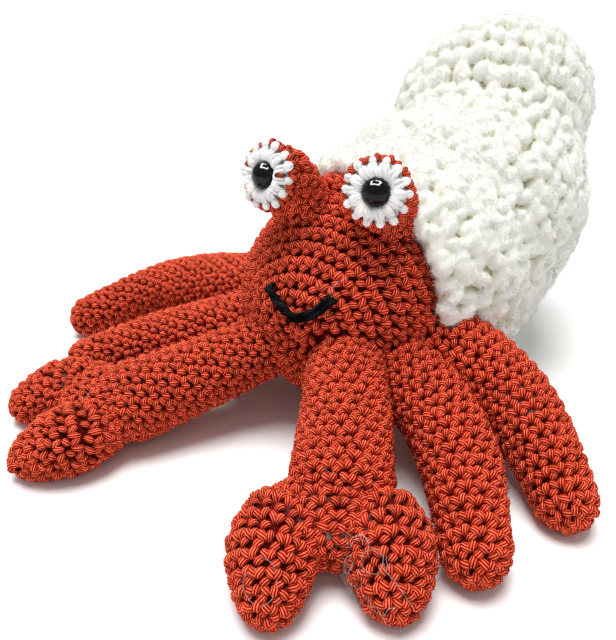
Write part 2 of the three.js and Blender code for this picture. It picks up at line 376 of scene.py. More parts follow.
@dataclass
class Whorl(Form):
    """A bent, blunt cone with a winding groove, whose open lip rolls inwards."""

    stations: tuple[tuple[Place, float], ...]  # places on the axis from the lip, with the radius there
    tip_rounding: float = 0.3  # share of the length that the blunt tip takes up
    slack: float = 0.13  # how far either side its direction is taken from, as a share of the length
    groove_depth: float = 1.8
    groove_turns: float = 2.6
    groove_start: float = 0.25
    groove_fade: float = 0.2  # share of the length over which the groove fades at either end
    lip_roll: float = 3.2
    lip_share: float = 0.06

    def split(self, share: Array) -> tuple[Array, Array]:
        """Where along the cone, 0 at the lip, and how far round the lip's roll, 0 to 1."""
        share = np.asarray(share, float)
        body = 1 - np.clip(share / (1 - self.lip_share), 0, 1)
        return body, np.clip((share - (1 - self.lip_share)) / self.lip_share, 0, 1)

    def along(self, back: Array) -> Array:
        """Points on the axis, 0 at the lip."""
        return through(np.array([at for at, _ in self.stations]), np.clip(back, 0, 1))

    def direction(self, back: Array) -> Array:
        """Unit vectors along the axis, away from the lip."""
        return normalised(self.along(back + self.slack) - self.along(back - self.slack))

    def radius(self, back: Array) -> Array:
        """The radius without the groove."""
        to_tip = np.clip((back - 1) / self.tip_rounding + 1, 0, 1)
        return smooth([radius for _, radius in self.stations], back) * np.sqrt(1 - to_tip**2)

    def middle(self, share: Array) -> Array:
        """Points on the axis."""
        return self.along(self.split(share)[0])

    def surface(self, share: Array, turn: Array) -> Array:
        """Points on the shell's outside, pressed flat where it lies on the table."""
        share, turn = np.broadcast_arrays(np.asarray(share, float), np.asarray(turn, float))
        back, roll = self.split(share)
        angle = 2 * math.pi * turn
        direction = self.direction(back)
        side = normalised(np.cross(direction, [0.0, 0.0, 1.0]))
        over = np.cross(side, direction)
        fade = np.clip(np.minimum(back, 1 - back) / self.groove_fade, 0, 1)
        wound = np.cos(2 * math.pi * (back * self.groove_turns + self.groove_start) + angle)
        radius = self.radius(back) - self.groove_depth * fade * wound
        bend = roll * math.pi
        radius = np.maximum(radius, 0) - self.lip_roll * (1 - np.cos(bend))
        lead = self.lip_roll * np.sin(bend)
        spoke = np.cos(angle)[..., None] * side + np.sin(angle)[..., None] * over
        return pressed(self.along(back) + radius[..., None] * spoke - lead[..., None] * direction)

    def outward(self, share: Array, turn: Array) -> Array:
        """Unit vectors that stand square on the outside, turning inwards round the lip."""
        square = super().outward(share, turn)
        _, roll = self.split(share)
        return np.where(roll[..., None] > 0.5, -square, square)

    def depth(self, points: Array) -> Array:
        """How far inside the shell each point is, counting nothing in front of its lip."""
        back = np.linspace(0, 1, 80)
        centres = self.along(back)
        gaps = np.linalg.norm(points[..., None, :] - centres, axis=-1)
        inside = (self.radius(back) - gaps).max(axis=-1)
        behind = (points - centres[0]) @ self.direction(np.array(0.0))
        return np.where(behind > 0, inside, WELL_OUTSIDE)


# ---------------------------------------------------------------- strands and stitches

YARN_TWIST = 0.18  # turns that the plies of a cotton strand make along it
TIP_GAP = 0.15  # nearest that a stitch comes to a form's tip, in millimetres


@dataclass(frozen=True)
class Ply:
    """How the plies of a yarn shape the outside of a strand."""

    lobes: int  # plies of a grooved strand, or sides of a plain one
    depth: float = 0.0  # of the groove between two plies, as a share of the radius
    twist: float = 0.22  # turns along the strand
    flat: float = 0.9  # height of the strand's section over its width


COTTON_PLY = Ply(lobes=8, twist=YARN_TWIST)


@dataclass(frozen=True)
class Sheet:
    """Rings of points wound round a form from its tip."""

    points: Array  # by ring and side
    share: Array
    turn: Array
    blend: Array  # how much of the finish's second colour shows

    def part(self, low: int, high: int, tuck: float) -> Sheet:
        """Some of the rings, with the first and last tucked under their neighbours where the sheet goes on.

        Args:
            low: the first ring.
            high: the last ring.
            tuck: how deep the end rings go, in millimetres.

        Returns:
            The part.
        """
        rings = slice(max(low - 1, 0), high + 2)
        points = self.points[rings].copy()
        for end, goes_on in ((0, low > 0), (-1, high < len(self.points) - 1)):
            if goes_on:
                points[end] -= tuck * self.square()[rings][end]
        return Sheet(points, self.share[rings], self.turn[rings], self.blend[rings])

    def steps(self) -> tuple[Array, Array]:
        """The steps to the next ring and to the next side, at each point."""
        beside = np.roll(self.points, -1, axis=1) - np.roll(self.points, 1, axis=1)
        return np.gradient(self.points, axis=0), beside / 2

    def winding(self) -> int:
        """1 where rings and sides turn so that their faces look outwards, -1 where they look inwards."""
        middle = len(self.points) // 2
        away = self.points[middle] - self.points[middle].mean(axis=0)
        ahead, beside = (step[middle] for step in self.steps())
        return 1 if (np.cross(ahead, beside) * away).sum() > 0 else -1

    def square(self) -> Array:
        """Unit vectors square on the sheet at each point, outwards."""
        return self.winding() * normalised(np.cross(*self.steps()))


def softened(grid: Array, passes: int) -> Array:
    """Evens out values by ring and side, joining the last side to the first.

    Args:
        grid: the values.
        passes: how often neighbours are averaged.

    Returns:
        The softer values.
    """
    for _ in range(passes):
        grid = (np.roll(grid, 1, axis=1) + 2 * grid + np.roll(grid, -1, axis=1)) / 4
        wide = np.concatenate([grid[:1], grid, grid[-1:]])
        grid = (wide[:-2] + 2 * grid + wide[2:]) / 4
    return grid


class Skein:
    """Collects closed strands and skins, and makes one mesh of them."""

    PATCH = 0.003  # side of a stitch's place in the bake map

    def __init__(self) -> None:
        """Starts with nothing."""
        self.vertices: list[Array] = []
        self.faces: list[tuple[Array, Array, Array]] = []
        self.blend: list[Array] = []
        self.count = 0

    def take(self, vertices: Array, blend: Union[float, Array] = 0.0) -> int:
        """Adds vertices, and returns the number of the first."""
        first = self.count
        self.vertices.append(vertices)
        self.blend.append(np.broadcast_to(blend, (len(vertices),)))
        self.count += len(vertices)
        return first

    def strands(self, line: Array, outward: Array, radius: Array, ply: Ply, root: Array) -> None:
        """Adds closed strands.

        Args:
            line: the middle lines, by strand and station.
            outward: unit vectors away from the work, at each station.
            radius: the strand's radius at each station.
            ply: how its plies show.
            root: each strand's place in the bake map.
        """
        number, stations = line.shape[:2]
        sides = 2 * ply.lobes if ply.depth else ply.lobes
        along = normalised(np.gradient(line, axis=1))
        across = normalised(np.cross(along, outward))
        over = np.cross(across, along)
        station, side = np.arange(stations) / (stations - 1), np.arange(sides) / sides
        angle = 2 * math.pi * (side[None, :] + ply.twist * station[:, None])
        lobe = 1 - ply.depth * (np.arange(sides) % 2)
        spoke = np.cos(angle)[None, ..., None] * across[:, :, None] + (
            ply.flat * np.sin(angle)[None, ..., None] * over[:, :, None]
        )
        points = line[:, :, None] + spoke * (radius[..., None] * lobe)[..., None]
        first = self.take(points.reshape(-1, 3))
        index = first + np.arange(number * stations * sides).reshape(number, stations, sides)
        ahead = np.roll(index, -1, axis=2)
        quads = np.stack([index[:, :-1], index[:, 1:], ahead[:, 1:], ahead[:, :-1]], axis=-1)
        low, high = station[:-1, None], station[1:, None]
        left, right = side[None, :], (np.arange(sides) + 1)[None, :] / sides
        corner = [(low, left), (high, left), (high, right), (low, right)]
        yarn = np.stack([np.stack(np.broadcast_arrays(u, v), axis=-1) for u, v in corner], axis=-2)
        yarn = np.broadcast_to(yarn, (number, *yarn.shape))
        bake = root[:, None, None, None] + self.PATCH * yarn
        self.faces.append((quads.reshape(-1, 4), yarn.reshape(-1, 2), bake.reshape(-1, 2)))
        for end, ring in ((0.0, index[:, 0]), (1.0, index[:, -1, ::-1])):
            flat = np.broadcast_to(np.array([end, 0.5]), (number * sides, 2))
            self.faces.append((ring, flat, np.repeat(root, sides, axis=0) + self.PATCH * flat))

    def skin(
        self, form: Form, depth: float, rings: int, sides: int, stretch: Callable[[Array], Array]
    ) -> None:
        """Adds a closed skin inside a form.

        Args:
            form: the form.
            depth: how far below its outside the skin lies, in millimetres.
            rings: rings from the tip to the end.
            sides: points in each.
            stretch: gives how much of the filling shows at a point, 0 to 1.
        """
        end_share, table_gap = 0.006, 0.4
        share = end_share + (1 - 2 * end_share) * np.sin(np.linspace(0, math.pi / 2, rings)) ** 2
        turn = np.arange(sides) / sides
        grid_share, grid_turn = np.meshgrid(share, turn, indexing="ij")
        points = form.surface(grid_share, grid_turn) - depth * form.outward(grid_share, grid_turn)
        points[..., 2] = np.maximum(points[..., 2], table_gap)
        self.sheet(Sheet(points, grid_share, grid_turn, stretch(points)))

    def sheet(self, sheet: Sheet) -> None:
        """Adds a closed skin.

        Args:
            sheet: its rings of points, from the tip on.
        """
        rings, sides = sheet.share.shape
        first = self.take(sheet.points.reshape(-1, 3), sheet.blend.reshape(-1))
        index = first + np.arange(rings * sides).reshape(rings, sides)
        ahead = np.roll(index, -1, axis=1)
        quads = np.stack([index[:-1], index[1:], ahead[1:], ahead[:-1]], axis=-1)
        place = np.stack([sheet.turn, sheet.share], axis=-1)
        beyond = place + [1 / sides, 0]
        corner = np.stack([place[:-1], place[1:], beyond[1:], beyond[:-1]], axis=-2)
        if sheet.winding() < 0:
            quads, corner, index = quads[..., ::-1], corner[..., ::-1, :], index[:, ::-1]
        self.faces.append((quads.reshape(-1, 4), corner.reshape(-1, 2), corner.reshape(-1, 2)))
        for ring in (index[:1], index[-1:, ::-1]):
            self.faces.append((ring, np.zeros((sides, 2)), np.zeros((sides, 2))))

    def spikes(
        self, foot: Array, lean: Array, length: Array, width: float, bake: Array, blend: Array
    ) -> None:
        """Adds closed three-sided fibres.

        Args:
            foot: where each stands.
            lean: the unit vector that each points along.
            length: how long each is.
            width: how wide each is at its foot.
            bake: each fibre's place in the bake map.
            blend: how much of the finish's second colour it shows, such as the skin's painted crease shade.
        """
        side = normalised(np.cross(lean, [0.31, 0.52, 0.8]))
        over = np.cross(lean, side)
        angles = 2 * math.pi * np.arange(3) / 3
        ring = [foot + width / 2 * (math.cos(a) * side + math.sin(a) * over) for a in angles]
        points = np.stack([*ring, foot + lean * length[:, None]], axis=1)
        first = self.take(points.reshape(-1, 3), np.repeat(blend, 4)) + 4 * np.arange(len(foot))
        low, high = np.array([0.08, 0.5]), np.array([0.5, 0.5])
        for corners, yarn in (((0, 1, 3), (low, low, high)), ((1, 2, 3), (low, low, high)),
                              ((2, 0, 3), (low, low, high)), ((0, 2, 1), (low, low, low))):
            faces = first[:, None] + np.array(corners)
            flat = np.broadcast_to(np.stack(yarn), (len(foot), 3, 2)).reshape(-1, 2)
            self.faces.append((faces, flat, np.repeat(bake, 3, axis=0) + 0.3 * self.PATCH * flat))

    def make(self, name: str, layout: Layout, material: bpy.types.Material) -> bpy.types.Object:
        """Makes the object.

        Args:
            name: its name.
            layout: where the toy lies in the frame.
            material: its material.

        Returns:
            The new object, linked to the scene.
        """
        mesh = bpy.data.meshes.new(name)
        points = np.concatenate(self.vertices)
        points[:, 2] = np.maximum(points[:, 2], 0.0)
        mesh.vertices.add(len(points))
        mesh.vertices.foreach_set("co", layout.to_frame(points).astype(np.float32).ravel())
        loops = np.concatenate([faces.ravel() for faces, _, _ in self.faces])
        sizes = np.concatenate([np.full(len(faces), faces.shape[1]) for faces, _, _ in self.faces])
        mesh.loops.add(len(loops))
        mesh.loops.foreach_set("vertex_index", loops.astype(np.int32))
        mesh.polygons.add(len(sizes))
        mesh.polygons.foreach_set("loop_start", (np.cumsum(sizes) - sizes).astype(np.int32))
        mesh.polygons.foreach_set("loop_total", sizes.astype(np.int32))
        mesh.polygons.foreach_set("use_smooth", np.ones(len(sizes), bool))
        mesh.update(calc_edges=True)
        for label, column in (("OFBake", 2), ("Yarn", 1)):
            values = np.concatenate([part[column] for part in self.faces])
            mesh.uv_layers.new(name=label).data.foreach_set("uv", values.astype(np.float32).ravel())
        blend = mesh.attributes.new("blend", "FLOAT", "POINT")
        blend.data.foreach_set("value", np.concatenate(self.blend).astype(np.float32))
        mesh.materials.append(material)
        piece = bpy.data.objects.new(name, mesh)
        bpy.context.scene.collection.objects.link(piece)
        return piece


@dataclass(frozen=True)
class Pile:
    """Short soft fibres that stand on the outside of a thick yarn."""

    number: int
    length: float = 1.5
    width: float = 0.16
    sunk: float = 0.25  # how deep in the skin a fibre's foot stands
    spread: float = 0.5  # how far fibres lean aside
    shade: float = 0.6  # how much of the skin's second colour they take on

    def grow(self, sheet: Sheet, keep: Callable[[Array], Array], seed: str) -> Skein:
        """Grows the pile.

        Args:
            sheet: the skin to grow it on.
            keep: tells which places, in millimetres, get fibres.
            seed: a name that settles its unevenness.

        Returns:
            The fibres.
        """
        rng = seeded(seed)
        ahead, beside = sheet.steps()
        area = np.linalg.norm(np.cross(ahead, beside), axis=-1)
        area[[0, 1, -2, -1]] = 0
        area = area.reshape(-1) * keep(sheet.points.reshape(-1, 3))
        cell = rng.choice(len(area), self.number, p=area / area.sum())
        u, v = rng.uniform(-0.5, 0.5, (2, self.number, 1))
        grids = (sheet.points, ahead, beside, sheet.square())
        points, ahead, beside, out = (grid.reshape(-1, 3)[cell] for grid in grids)
        foot = points + ahead * u + beside * v - self.sunk * out
        lean = normalised(out + self.spread * rng.normal(size=(self.number, 3)))
        length = self.length * rng.uniform(0.5, 1.25, self.number)
        turn, share, blend = (grid.reshape(-1)[cell] for grid in (sheet.turn, sheet.share, sheet.blend))
        pile = Skein()
        bake = np.stack([turn, share], axis=-1)
        pile.spikes(foot, lean, length, self.width, bake, self.shade * blend)
        return pile


@dataclass(frozen=True)
class Loop:
    """The part of a stitch's yarn that shows between two places where it dives into the work.

    The places are (across, up): across in stitch widths from the stitch's middle, up in rows
    from the hole that it grows out of.
    """

    start: tuple[float, float]
    end: tuple[float, float]
    crown: float = 0.3  # how high its middle lies, in yarn radii
    sink: float = 2.0  # how deep its ends dive, in yarn radii
    bow: float = 0.0  # how far its middle bends aside, in stitch widths
    plump: float = 1.0
    swell: float = 1.06  # thickness of its middle, in plumpnesses
    taper: float = 0.38  # how much thinner its ends are
    steepness: float = 3.2  # how suddenly its ends dive

    def path(self, stations: int) -> tuple[Array, Array, Array, Array, Array]:
        """Each station's share of the way, with across, up, height and thickness there."""
        run = (1 - np.cos(math.pi * np.linspace(0, 1, stations))) / 2
        run = 0.5 * run + 0.5 * np.linspace(0, 1, stations)
        away = np.abs(2 * run - 1)
        across = self.start[0] + (self.end[0] - self.start[0]) * run + self.bow * (1 - away**2)
        up = self.start[1] + (self.end[1] - self.start[1]) * run
        height = self.crown - (self.crown + self.sink) * away**self.steepness
        return run, across, up, height, self.plump * (self.swell - self.taper * away**2)


LOOPS = (
    Loop((0.29, 0.04), (0.70, -0.23), crown=0.24, plump=0.98),
    Loop((-0.10, 0.09), (-0.34, 0.54), crown=0.50, plump=1.02),
    Loop((0.04, 0.10), (0.41, 0.53), crown=0.46, bow=-0.02, plump=1.02),
)


@dataclass(frozen=True)
class Spiral:
    """The order of stitches that are worked round and round from a form's tip."""

    width: float  # of a stitch
    row: float  # height of a row
    start: float = 0.6  # distance of the first row from the tip
    lean: float = 0.43  # how far each row sets over, in stitches
    fewest: int = 5  # stitches in a row

    def places(self, distance: Array, girth: Array) -> tuple[Array, Array, Array]:
        """Where the stitches of one long spiral stand.

        Args:
            distance: distances from the tip.
            girth: the form's girth at each.

        Returns:
            Each stitch's turns, its distance from the tip and how many stitches its row holds.
        """
        turns, counts, turn = [], [], 0.0
        while self.start + (turn + 0.5) * self.row < distance[-1]:
            middle = self.start + (math.floor(turn) + 0.5) * self.row
            wanted = round(float(np.interp(middle, distance, girth)) / self.width)
            count = max(self.fewest, wanted) + self.lean
            turns.append(turn)
            counts.append(count)
            turn += 1 / count
        turns = np.array(turns)
        return turns, self.start + turns * self.row, np.array(counts)


@dataclass(frozen=True)
class Crochet:
    """Single crochet in a plied yarn, with three strands to a stitch."""

    spiral: Spiral
    yarn: float  # radius of a strand
    unevenness: float
    ply: Ply = COTTON_PLY
    stations: int = 8
    sunk: float = 0.85  # how low a strand with no crown lies under the form's outside, in yarn radii

    def work(self, form: Form, keep: Callable[[Array], Array], seed: str) -> Skein:
        """Covers a form.

        Args:
            form: the form.
            keep: tells which places, in millimetres, get a stitch.
            seed: a name that settles the unevenness.

        Returns:
            The stitches.
        """
        rng = seeded(seed)
        row = self.spiral.row
        share, distance, girth = form.measure()
        turn, ahead, around = self.spiral.places(distance, girth)
        centre = form.surface(np.interp(ahead + 0.4 * row, distance, share), turn)
        kept = keep(centre)
        turn, ahead, around = turn[kept], ahead[kept], around[kept]
        skein = Skein()
        # "shake" moves a whole stitch, and "own" moves one of its strands or an end of it.
        shake = self.unevenness * rng.normal(size=(4, len(turn)))[..., None]
        for loop in LOOPS:
            run, across, up, out, thick = (part[None] for part in loop.path(self.stations))
            own = self.unevenness * rng.normal(size=(6, len(turn)))[..., None]
            across = across * (1 + 0.05 * shake[0]) + 0.04 * shake[1]
            across = across + 0.05 * own[0] * (1 - run) + 0.05 * own[4] * run
            up = up + 0.03 * shake[2] + 0.04 * own[1] * (1 - run) + 0.04 * own[5] * run
            out = out + 0.12 * shake[3] + 0.12 * own[2]
            far = np.clip(ahead[:, None] + up * row, TIP_GAP, distance[-1])
            at, where = np.interp(far, distance, share), turn[:, None] + across / around[:, None]
            outward = form.outward(at, where)
            line = form.surface(at, where) + outward * (self.yarn * (out - self.sunk))[..., None]
            radius = self.yarn * thick * (1 + 0.05 * own[3])
            root = np.stack([turn % 1, ahead / distance[-1]], axis=-1) * 0.99
            skein.strands(line, outward, radius, self.ply, root)
        return skein


# ---------------------------------------------------------------- materials


class Signal:
    """A socket whose value or colour can be used in an expression."""

    def __init__(self, graph: Graph, socket: bpy.types.NodeSocket) -> None:
        """Wraps a socket of a graph."""
        self.graph = graph
        self.socket = socket

    def _math(self, operation: str, *values: Union[Signal, float]) -> Signal:
        """Adds a Math node and returns its result."""
        return self.graph.node("ShaderNodeMath", {"operation": operation}, dict(enumerate(values)))

    def __add__(self, other: Union[Signal, float]) -> Signal:
        """Sum."""
        return self._math("ADD", self, other)

    __radd__ = __add__

    def __sub__(self, other: Union[Signal, float]) -> Signal:
        """Difference."""
        return self._math("SUBTRACT", self, other)

    def __rsub__(self, other: float) -> Signal:
        """Difference from a number."""
        return self._math("SUBTRACT", other, self)

    def __mul__(self, other: Union[Signal, float]) -> Signal:
        """Product."""
        return self._math("MULTIPLY", self, other)

    __rmul__ = __mul__

    def __truediv__(self, other: Union[Signal, float]) -> Signal:
        """Quotient."""
        return self._math("DIVIDE", self, other)

    def __pow__(self, power: float) -> Signal:
        """Power."""
        return self._math("POWER", self, power)

    def cosine(self) -> Signal:
        """Cosine of a value in radians."""
        return self._math("COSINE", self)

    def sine(self) -> Signal:
        """Sine of a value in radians."""
        return self._math("SINE", self)

    def clamped(self) -> Signal:
        """The value kept from 0 to 1."""
        return self.graph.node("ShaderNodeClamp", {}, {"Value": self})


class Graph:
    """A material's nodes, added by expressions."""

    def __init__(self, name: str) -> None:
        """Starts a material with one Principled shader."""
        self.material = bpy.data.materials.new(name)
        self.material.use_nodes = True
        self.tree = self.material.node_tree
        self.tree.nodes.clear()
        output = self.tree.nodes.new("ShaderNodeOutputMaterial")
        self.shader = self.tree.nodes.new("ShaderNodeBsdfPrincipled")
        self.tree.links.new(self.shader.outputs[0], output.inputs[0])

    def node(self, kind: str, settings: dict, inputs: dict, output: Union[int, str] = 0) -> Signal:
        """Adds any node.

        Args:
            kind: the node's type.
            settings: its properties, set first; a ramp's stops are given as "stops".
            inputs: values or signals, by socket name or number.
            output: the socket wanted from it.

        Returns:
            That socket, wrapped.
        """
        node = self.tree.nodes.new(kind)
        for key, value in settings.items():
            if key == "stops":
                ramp = node.color_ramp
                while len(ramp.elements) < len(value):
                    ramp.elements.new(0.5)
                for element, (position, colour) in zip(ramp.elements, value):
                    element.position, element.color = position, (*colour, 1.0)
            else:
                setattr(node, key, value)
        for key, value in inputs.items():
            if isinstance(value, Signal):
                self.tree.links.new(value.socket, node.inputs[key])
            else:
                node.inputs[key].default_value = value
        return Signal(self, node.outputs[output])

    def noise(self, scale: float, detail: float = 2.0, distortion: float = 0.0) -> Signal:
        """Noise in the piece's own space, with the scale in cells per metre."""
        place = self.node("ShaderNodeTexCoord", {}, {}, "Object")
        inputs = {"Vector": place, "Scale": scale, "Detail": detail, "Distortion": distortion}
        return self.node("ShaderNodeTexNoise", {}, inputs)

    def mix(
        self, factor: Union[Signal, float], first: Union[Signal, Colour], second: Union[Signal, Colour]
    ) -> Signal:
        """A colour between two others."""
        ends = [(*c, 1.0) if isinstance(c, tuple) else c for c in (first, second)]
        return self.node("ShaderNodeMix", {"data_type": "RGBA"}, {0: factor, 6: ends[0], 7: ends[1]}, 2)

    def ramp(self, factor: Signal, *stops: tuple[float, Colour]) -> Signal:
        """A colour that runs through stops as a value goes from 0 to 1."""
        return self.node("ShaderNodeValToRGB", {"stops": stops}, {0: factor})

    def tint(self, colour: Signal, amount: Signal) -> Signal:
        """A colour made lighter or darker by a value around 1."""
        grey = self.node("ShaderNodeCombineColor", {}, {0: amount, 1: amount, 2: amount})
        settings = {"data_type": "RGBA", "blend_type": "MULTIPLY"}
        return self.node("ShaderNodeMix", settings, {0: 1.0, 6: colour, 7: grey}, 2)

    def finish(self, constants: dict, **varying: Signal) -> bpy.types.Material:
        """Sets the shader's sockets.

        Args:
            constants: values that are the same all over, by socket name.
            varying: signals, by socket name with spaces as underscores.

        Returns:
            The finished material.
        """
        for key, value in constants.items():
            self.shader.inputs[key].default_value = value
        for key, value in varying.items():
            self.tree.links.new(value.socket, self.shader.inputs[key.replace("_", " ")])
        return self.material

    def bump(self, height: Signal, distance: float, strength: float) -> Signal:
        """A normal bent by a height from 0 to 1 over a distance in metres."""
        inputs = {"Height": height, "Distance": distance, "Strength": strength}
        return self.node("ShaderNodeBump", {}, inputs, "Normal")


@dataclass(frozen=True)
class YarnFinish:
    """A plied yarn: a painted highlight on its ply tops, its own colour on their flanks, painted shade in
    the grooves between them, and its shine.
    """

    name: str
    # top is a painted highlight along the ply tops, flank the yarn's own colour, the groove colour painted
    # shade.
    top: Colour
    flank: Colour
    painted_groove_shade: Colour
    plies: int = 9
    roughness: float = 0.36
    shine: float = 0.02
    # Painted shade: how much darker a strand is painted towards its ends, where it dives into the work, and
    # on its sides.
    painted_end_shade: float = 0.68
    painted_side_shade: float = 0.8
    relief: float = 0.0003  # how deep the grooves look, in metres

    def build(self) -> bpy.types.Material:
        """Makes the material."""
        graph = Graph(self.name)
        uv = graph.node("ShaderNodeUVMap", {"uv_map": "Yarn"}, {})
        split = graph.node("ShaderNodeSeparateXYZ", {}, {0: uv}).socket.node
        along, round_ = Signal(graph, split.outputs[0]), Signal(graph, split.outputs[1])
        wobble = graph.noise(900.0, 2.0)
        ridge = ((round_ + wobble * 0.05) * (2 * math.pi * self.plies)).cosine() * 0.5 + 0.5
        upright = ((round_ + along * YARN_TWIST) * (2 * math.pi)).sine() * 0.5 + 0.5
        fibre = graph.noise(5200.0, 2.0)
        patch = graph.noise(60.0, 3.0)
        own = graph.node("ShaderNodeNewGeometry", {}, {}, "Random Per Island")
        # Painted shade: each strand darker towards its ends and on its sides and the side that faces into
        # the work.
        ends = 1 - ((along * 2 - 1) ** 2) * self.painted_end_shade
        sides = 1 - (1.35 - upright * 1.9).clamped() * self.painted_side_shade
        # From painted shade in the ply grooves through the yarn's own colour to a painted highlight on the
        # ply tops.
        light = (ridge * 0.85 + fibre * 0.4 - 0.18).clamped()
        colour = graph.ramp(light, (0.0, self.painted_groove_shade), (0.5, self.flank), (1.0, self.top))
        shade = ends * sides * (0.78 + own * 0.3 + patch * 0.16)
        return graph.finish(
            {"Specular IOR Level": self.shine},
            Base_Color=graph.tint(colour, shade),
            Roughness=self.roughness + fibre * 0.15 + (1 - ridge) * 0.25,
            Normal=graph.bump(ridge * 0.85 + fibre * 0.15, self.relief, 1.0),
        )


@dataclass(frozen=True)
class ChenilleFinish:
    """A thick velvety yarn, with painted cream shade in its creases and painted dark shade in the few gaps
    between stitches.
    """

    name: str = "white_chenille"
    top: Colour = (0.87, 0.875, 0.815)
    painted_crease_shade: Colour = (0.85, 0.845, 0.685)
    painted_gap_shade: Colour = (0.35, 0.34, 0.2)
    relief: float = 0.0005  # how deep the pile looks, in metres

    def build(self) -> bpy.types.Material:
        """Makes the material."""
        graph = Graph(self.name)
        blend = graph.node("ShaderNodeAttribute", {"attribute_name": "blend"}, {}, "Fac")
        pile = graph.noise(1900.0, 3.0, 0.4)
        clump = graph.noise(620.0, 3.0)
        patch = graph.noise(38.0, 2.0)
        # Painted shade: creamier and darker the deeper a place lies in a crease of the skin, darkest in the
        # gaps.
        depth = (blend + pile * 0.1 - 0.05).clamped()
        stops = ((0.1, self.top), (0.55, self.painted_crease_shade), (0.88, self.painted_crease_shade), (1.0, self.painted_gap_shade))
        colour = graph.ramp(depth, *stops)
        constants = {
            "Specular IOR Level": 0.02,
            "Sheen Weight": 0.6,
            "Sheen Roughness": 0.5,
            "Sheen Tint": (1.0, 1.0, 1.0, 1.0),
        }
        return graph.finish(
            constants,
            Base_Color=graph.tint(colour, 0.97 + patch * 0.04),
            Roughness=0.85 + pile * 0.12,
            Normal=graph.bump(pile * 0.5 + clump * 0.5, self.relief, 0.6),
        )


@dataclass(frozen=True)
class FillingFinish:
    """What shows between the stitches: a dark red sheet of painted shadow, or the filling where they are
    stretched.
    """

    name: str
    shadow: Colour
    filling: Colour = (0.42, 0.36, 0.36)
    tufts: Colour = (0.75, 0.7, 0.7)
    relief: float = 0.0004  # how deep its fibres look, in metres

    def build(self) -> bpy.types.Material:
        """Makes the material."""
        graph = Graph(self.name)
        amount = graph.node("ShaderNodeAttribute", {"attribute_name": "blend"}, {}, "Fac")
        fibre = graph.noise(1400.0, 4.0, 1.5)
        pale = graph.tint(graph.mix(fibre, self.filling, self.tufts), 0.6 + fibre * 0.6)
        # Painted shadow where the stitches lie close, the pale filling where they are stretched.
        return graph.finish(
            {"Specular IOR Level": 0.02},
            Base_Color=graph.mix(amount.clamped(), self.shadow, pale),
            Roughness=0.8 + fibre * 0.15,
            Normal=graph.bump(fibre, self.relief, 0.8),
        )


@dataclass(frozen=True)
class ButtonFinish:
    """Glossy black moulded plastic with a faint waviness."""

    name: str = "glossy_black"
    clean: Colour = (0.002, 0.002, 0.003)
    dusty: Colour = (0.006, 0.006, 0.007)
    relief: float = 0.00004  # how deep the waves look, in metres

    def build(self) -> bpy.types.Material:
        """Makes the material."""
        graph = Graph(self.name)
        wave = graph.noise(300.0, 1.0)
        dust = graph.noise(9000.0, 2.0)
        return graph.finish(
            {"IOR": 1.5, "Specular IOR Level": 0.2},
            Base_Color=graph.mix(dust, self.clean, self.dusty),
            Roughness=0.03 + dust * 0.03,
            Normal=graph.bump(wave, self.relief, 0.12),
        )


@dataclass(frozen=True)
class FloorFinish:
    """A plain pale floor."""

    name: str = "pale_floor"
    dull: Colour = (0.93, 0.93, 0.93)
    bright: Colour = (0.95, 0.95, 0.95)

    def build(self) -> bpy.types.Material:
        """Makes the material."""
        graph = Graph(self.name)
        grain = graph.noise(90.0, 2.0)
        paint = graph.mix(grain, self.dull, self.bright)
        return graph.finish({"Specular IOR Level": 0.02}, Base_Color=paint, Roughness=0.8 + grain * 0.1)


class Finish(Enum):
    """The toy's finishes."""

    # In the yarn finishes the top colour is a painted highlight and the groove colour painted shade.
    RED = YarnFinish("plied_red", (1.0, 0.34, 0.18), (0.93, 0.034, 0.006), (0.22, 0.002, 0.001), shine=0.01)
    WHITE = YarnFinish(
        "plied_white",
        top=(0.96, 0.96, 0.95),
        flank=(0.93, 0.93, 0.92),
        painted_groove_shade=(0.8, 0.8, 0.79),
        plies=7,
        roughness=0.6,
        painted_end_shade=0.12,
        painted_side_shade=0.25,
        relief=0.00015,
    )
    BLACK = YarnFinish(
        "plied_black",
        top=(0.02, 0.022, 0.028),
        flank=(0.008, 0.009, 0.011),
        painted_groove_shade=(0.002, 0.002, 0.003),
        plies=6,
        roughness=0.45,
        shine=0.03,
    )
    LINT = YarnFinish(
        "lint",
        top=(0.95, 0.86, 0.86),
        flank=(0.95, 0.86, 0.86),
        painted_groove_shade=(0.9, 0.8, 0.8),
        plies=3,
        roughness=0.6,
        painted_end_shade=0.0,
        painted_side_shade=0.0,
    )
    CHENILLE = ChenilleFinish()
    # Dark red painted shadow between the stitches, with the pale filling where they are stretched.
    RED_SHADE_AND_STUFFING = FillingFinish("red_filling", (0.085, 0.0035, 0.002))
    BUTTON = ButtonFinish()
    FLOOR = FloorFinish()

    def material(self) -> bpy.types.Material:
        """The finish's material, made when it is first asked for."""
        return bpy.data.materials.get(self.value.name) or self.value.build()


# ---------------------------------------------------------------- sub-assemblies

FILLING_DEPTH = 1.6  # how far the filling lies below a form's outside, in yarn radii
FILLING_RINGS = 40
FILLING_SIDES = 44
BODY_CROCHET = Crochet(Spiral(width=3.8, row=4.6), yarn=1.03, unevenness=0.65)
ARM_CROCHET = Crochet(Spiral(width=4.1, row=3.05), yarn=0.93, unevenness=0.7)
LEG_CROCHET = Crochet(Spiral(width=4.2, row=3.55), yarn=0.97, unevenness=0.7)
CLAW_CROCHET = Crochet(Spiral(width=3.8, row=3.4), yarn=0.92, unevenness=1.0)
SHELL_SPIRAL = Spiral(width=7.4, row=6.2, start=1.0)


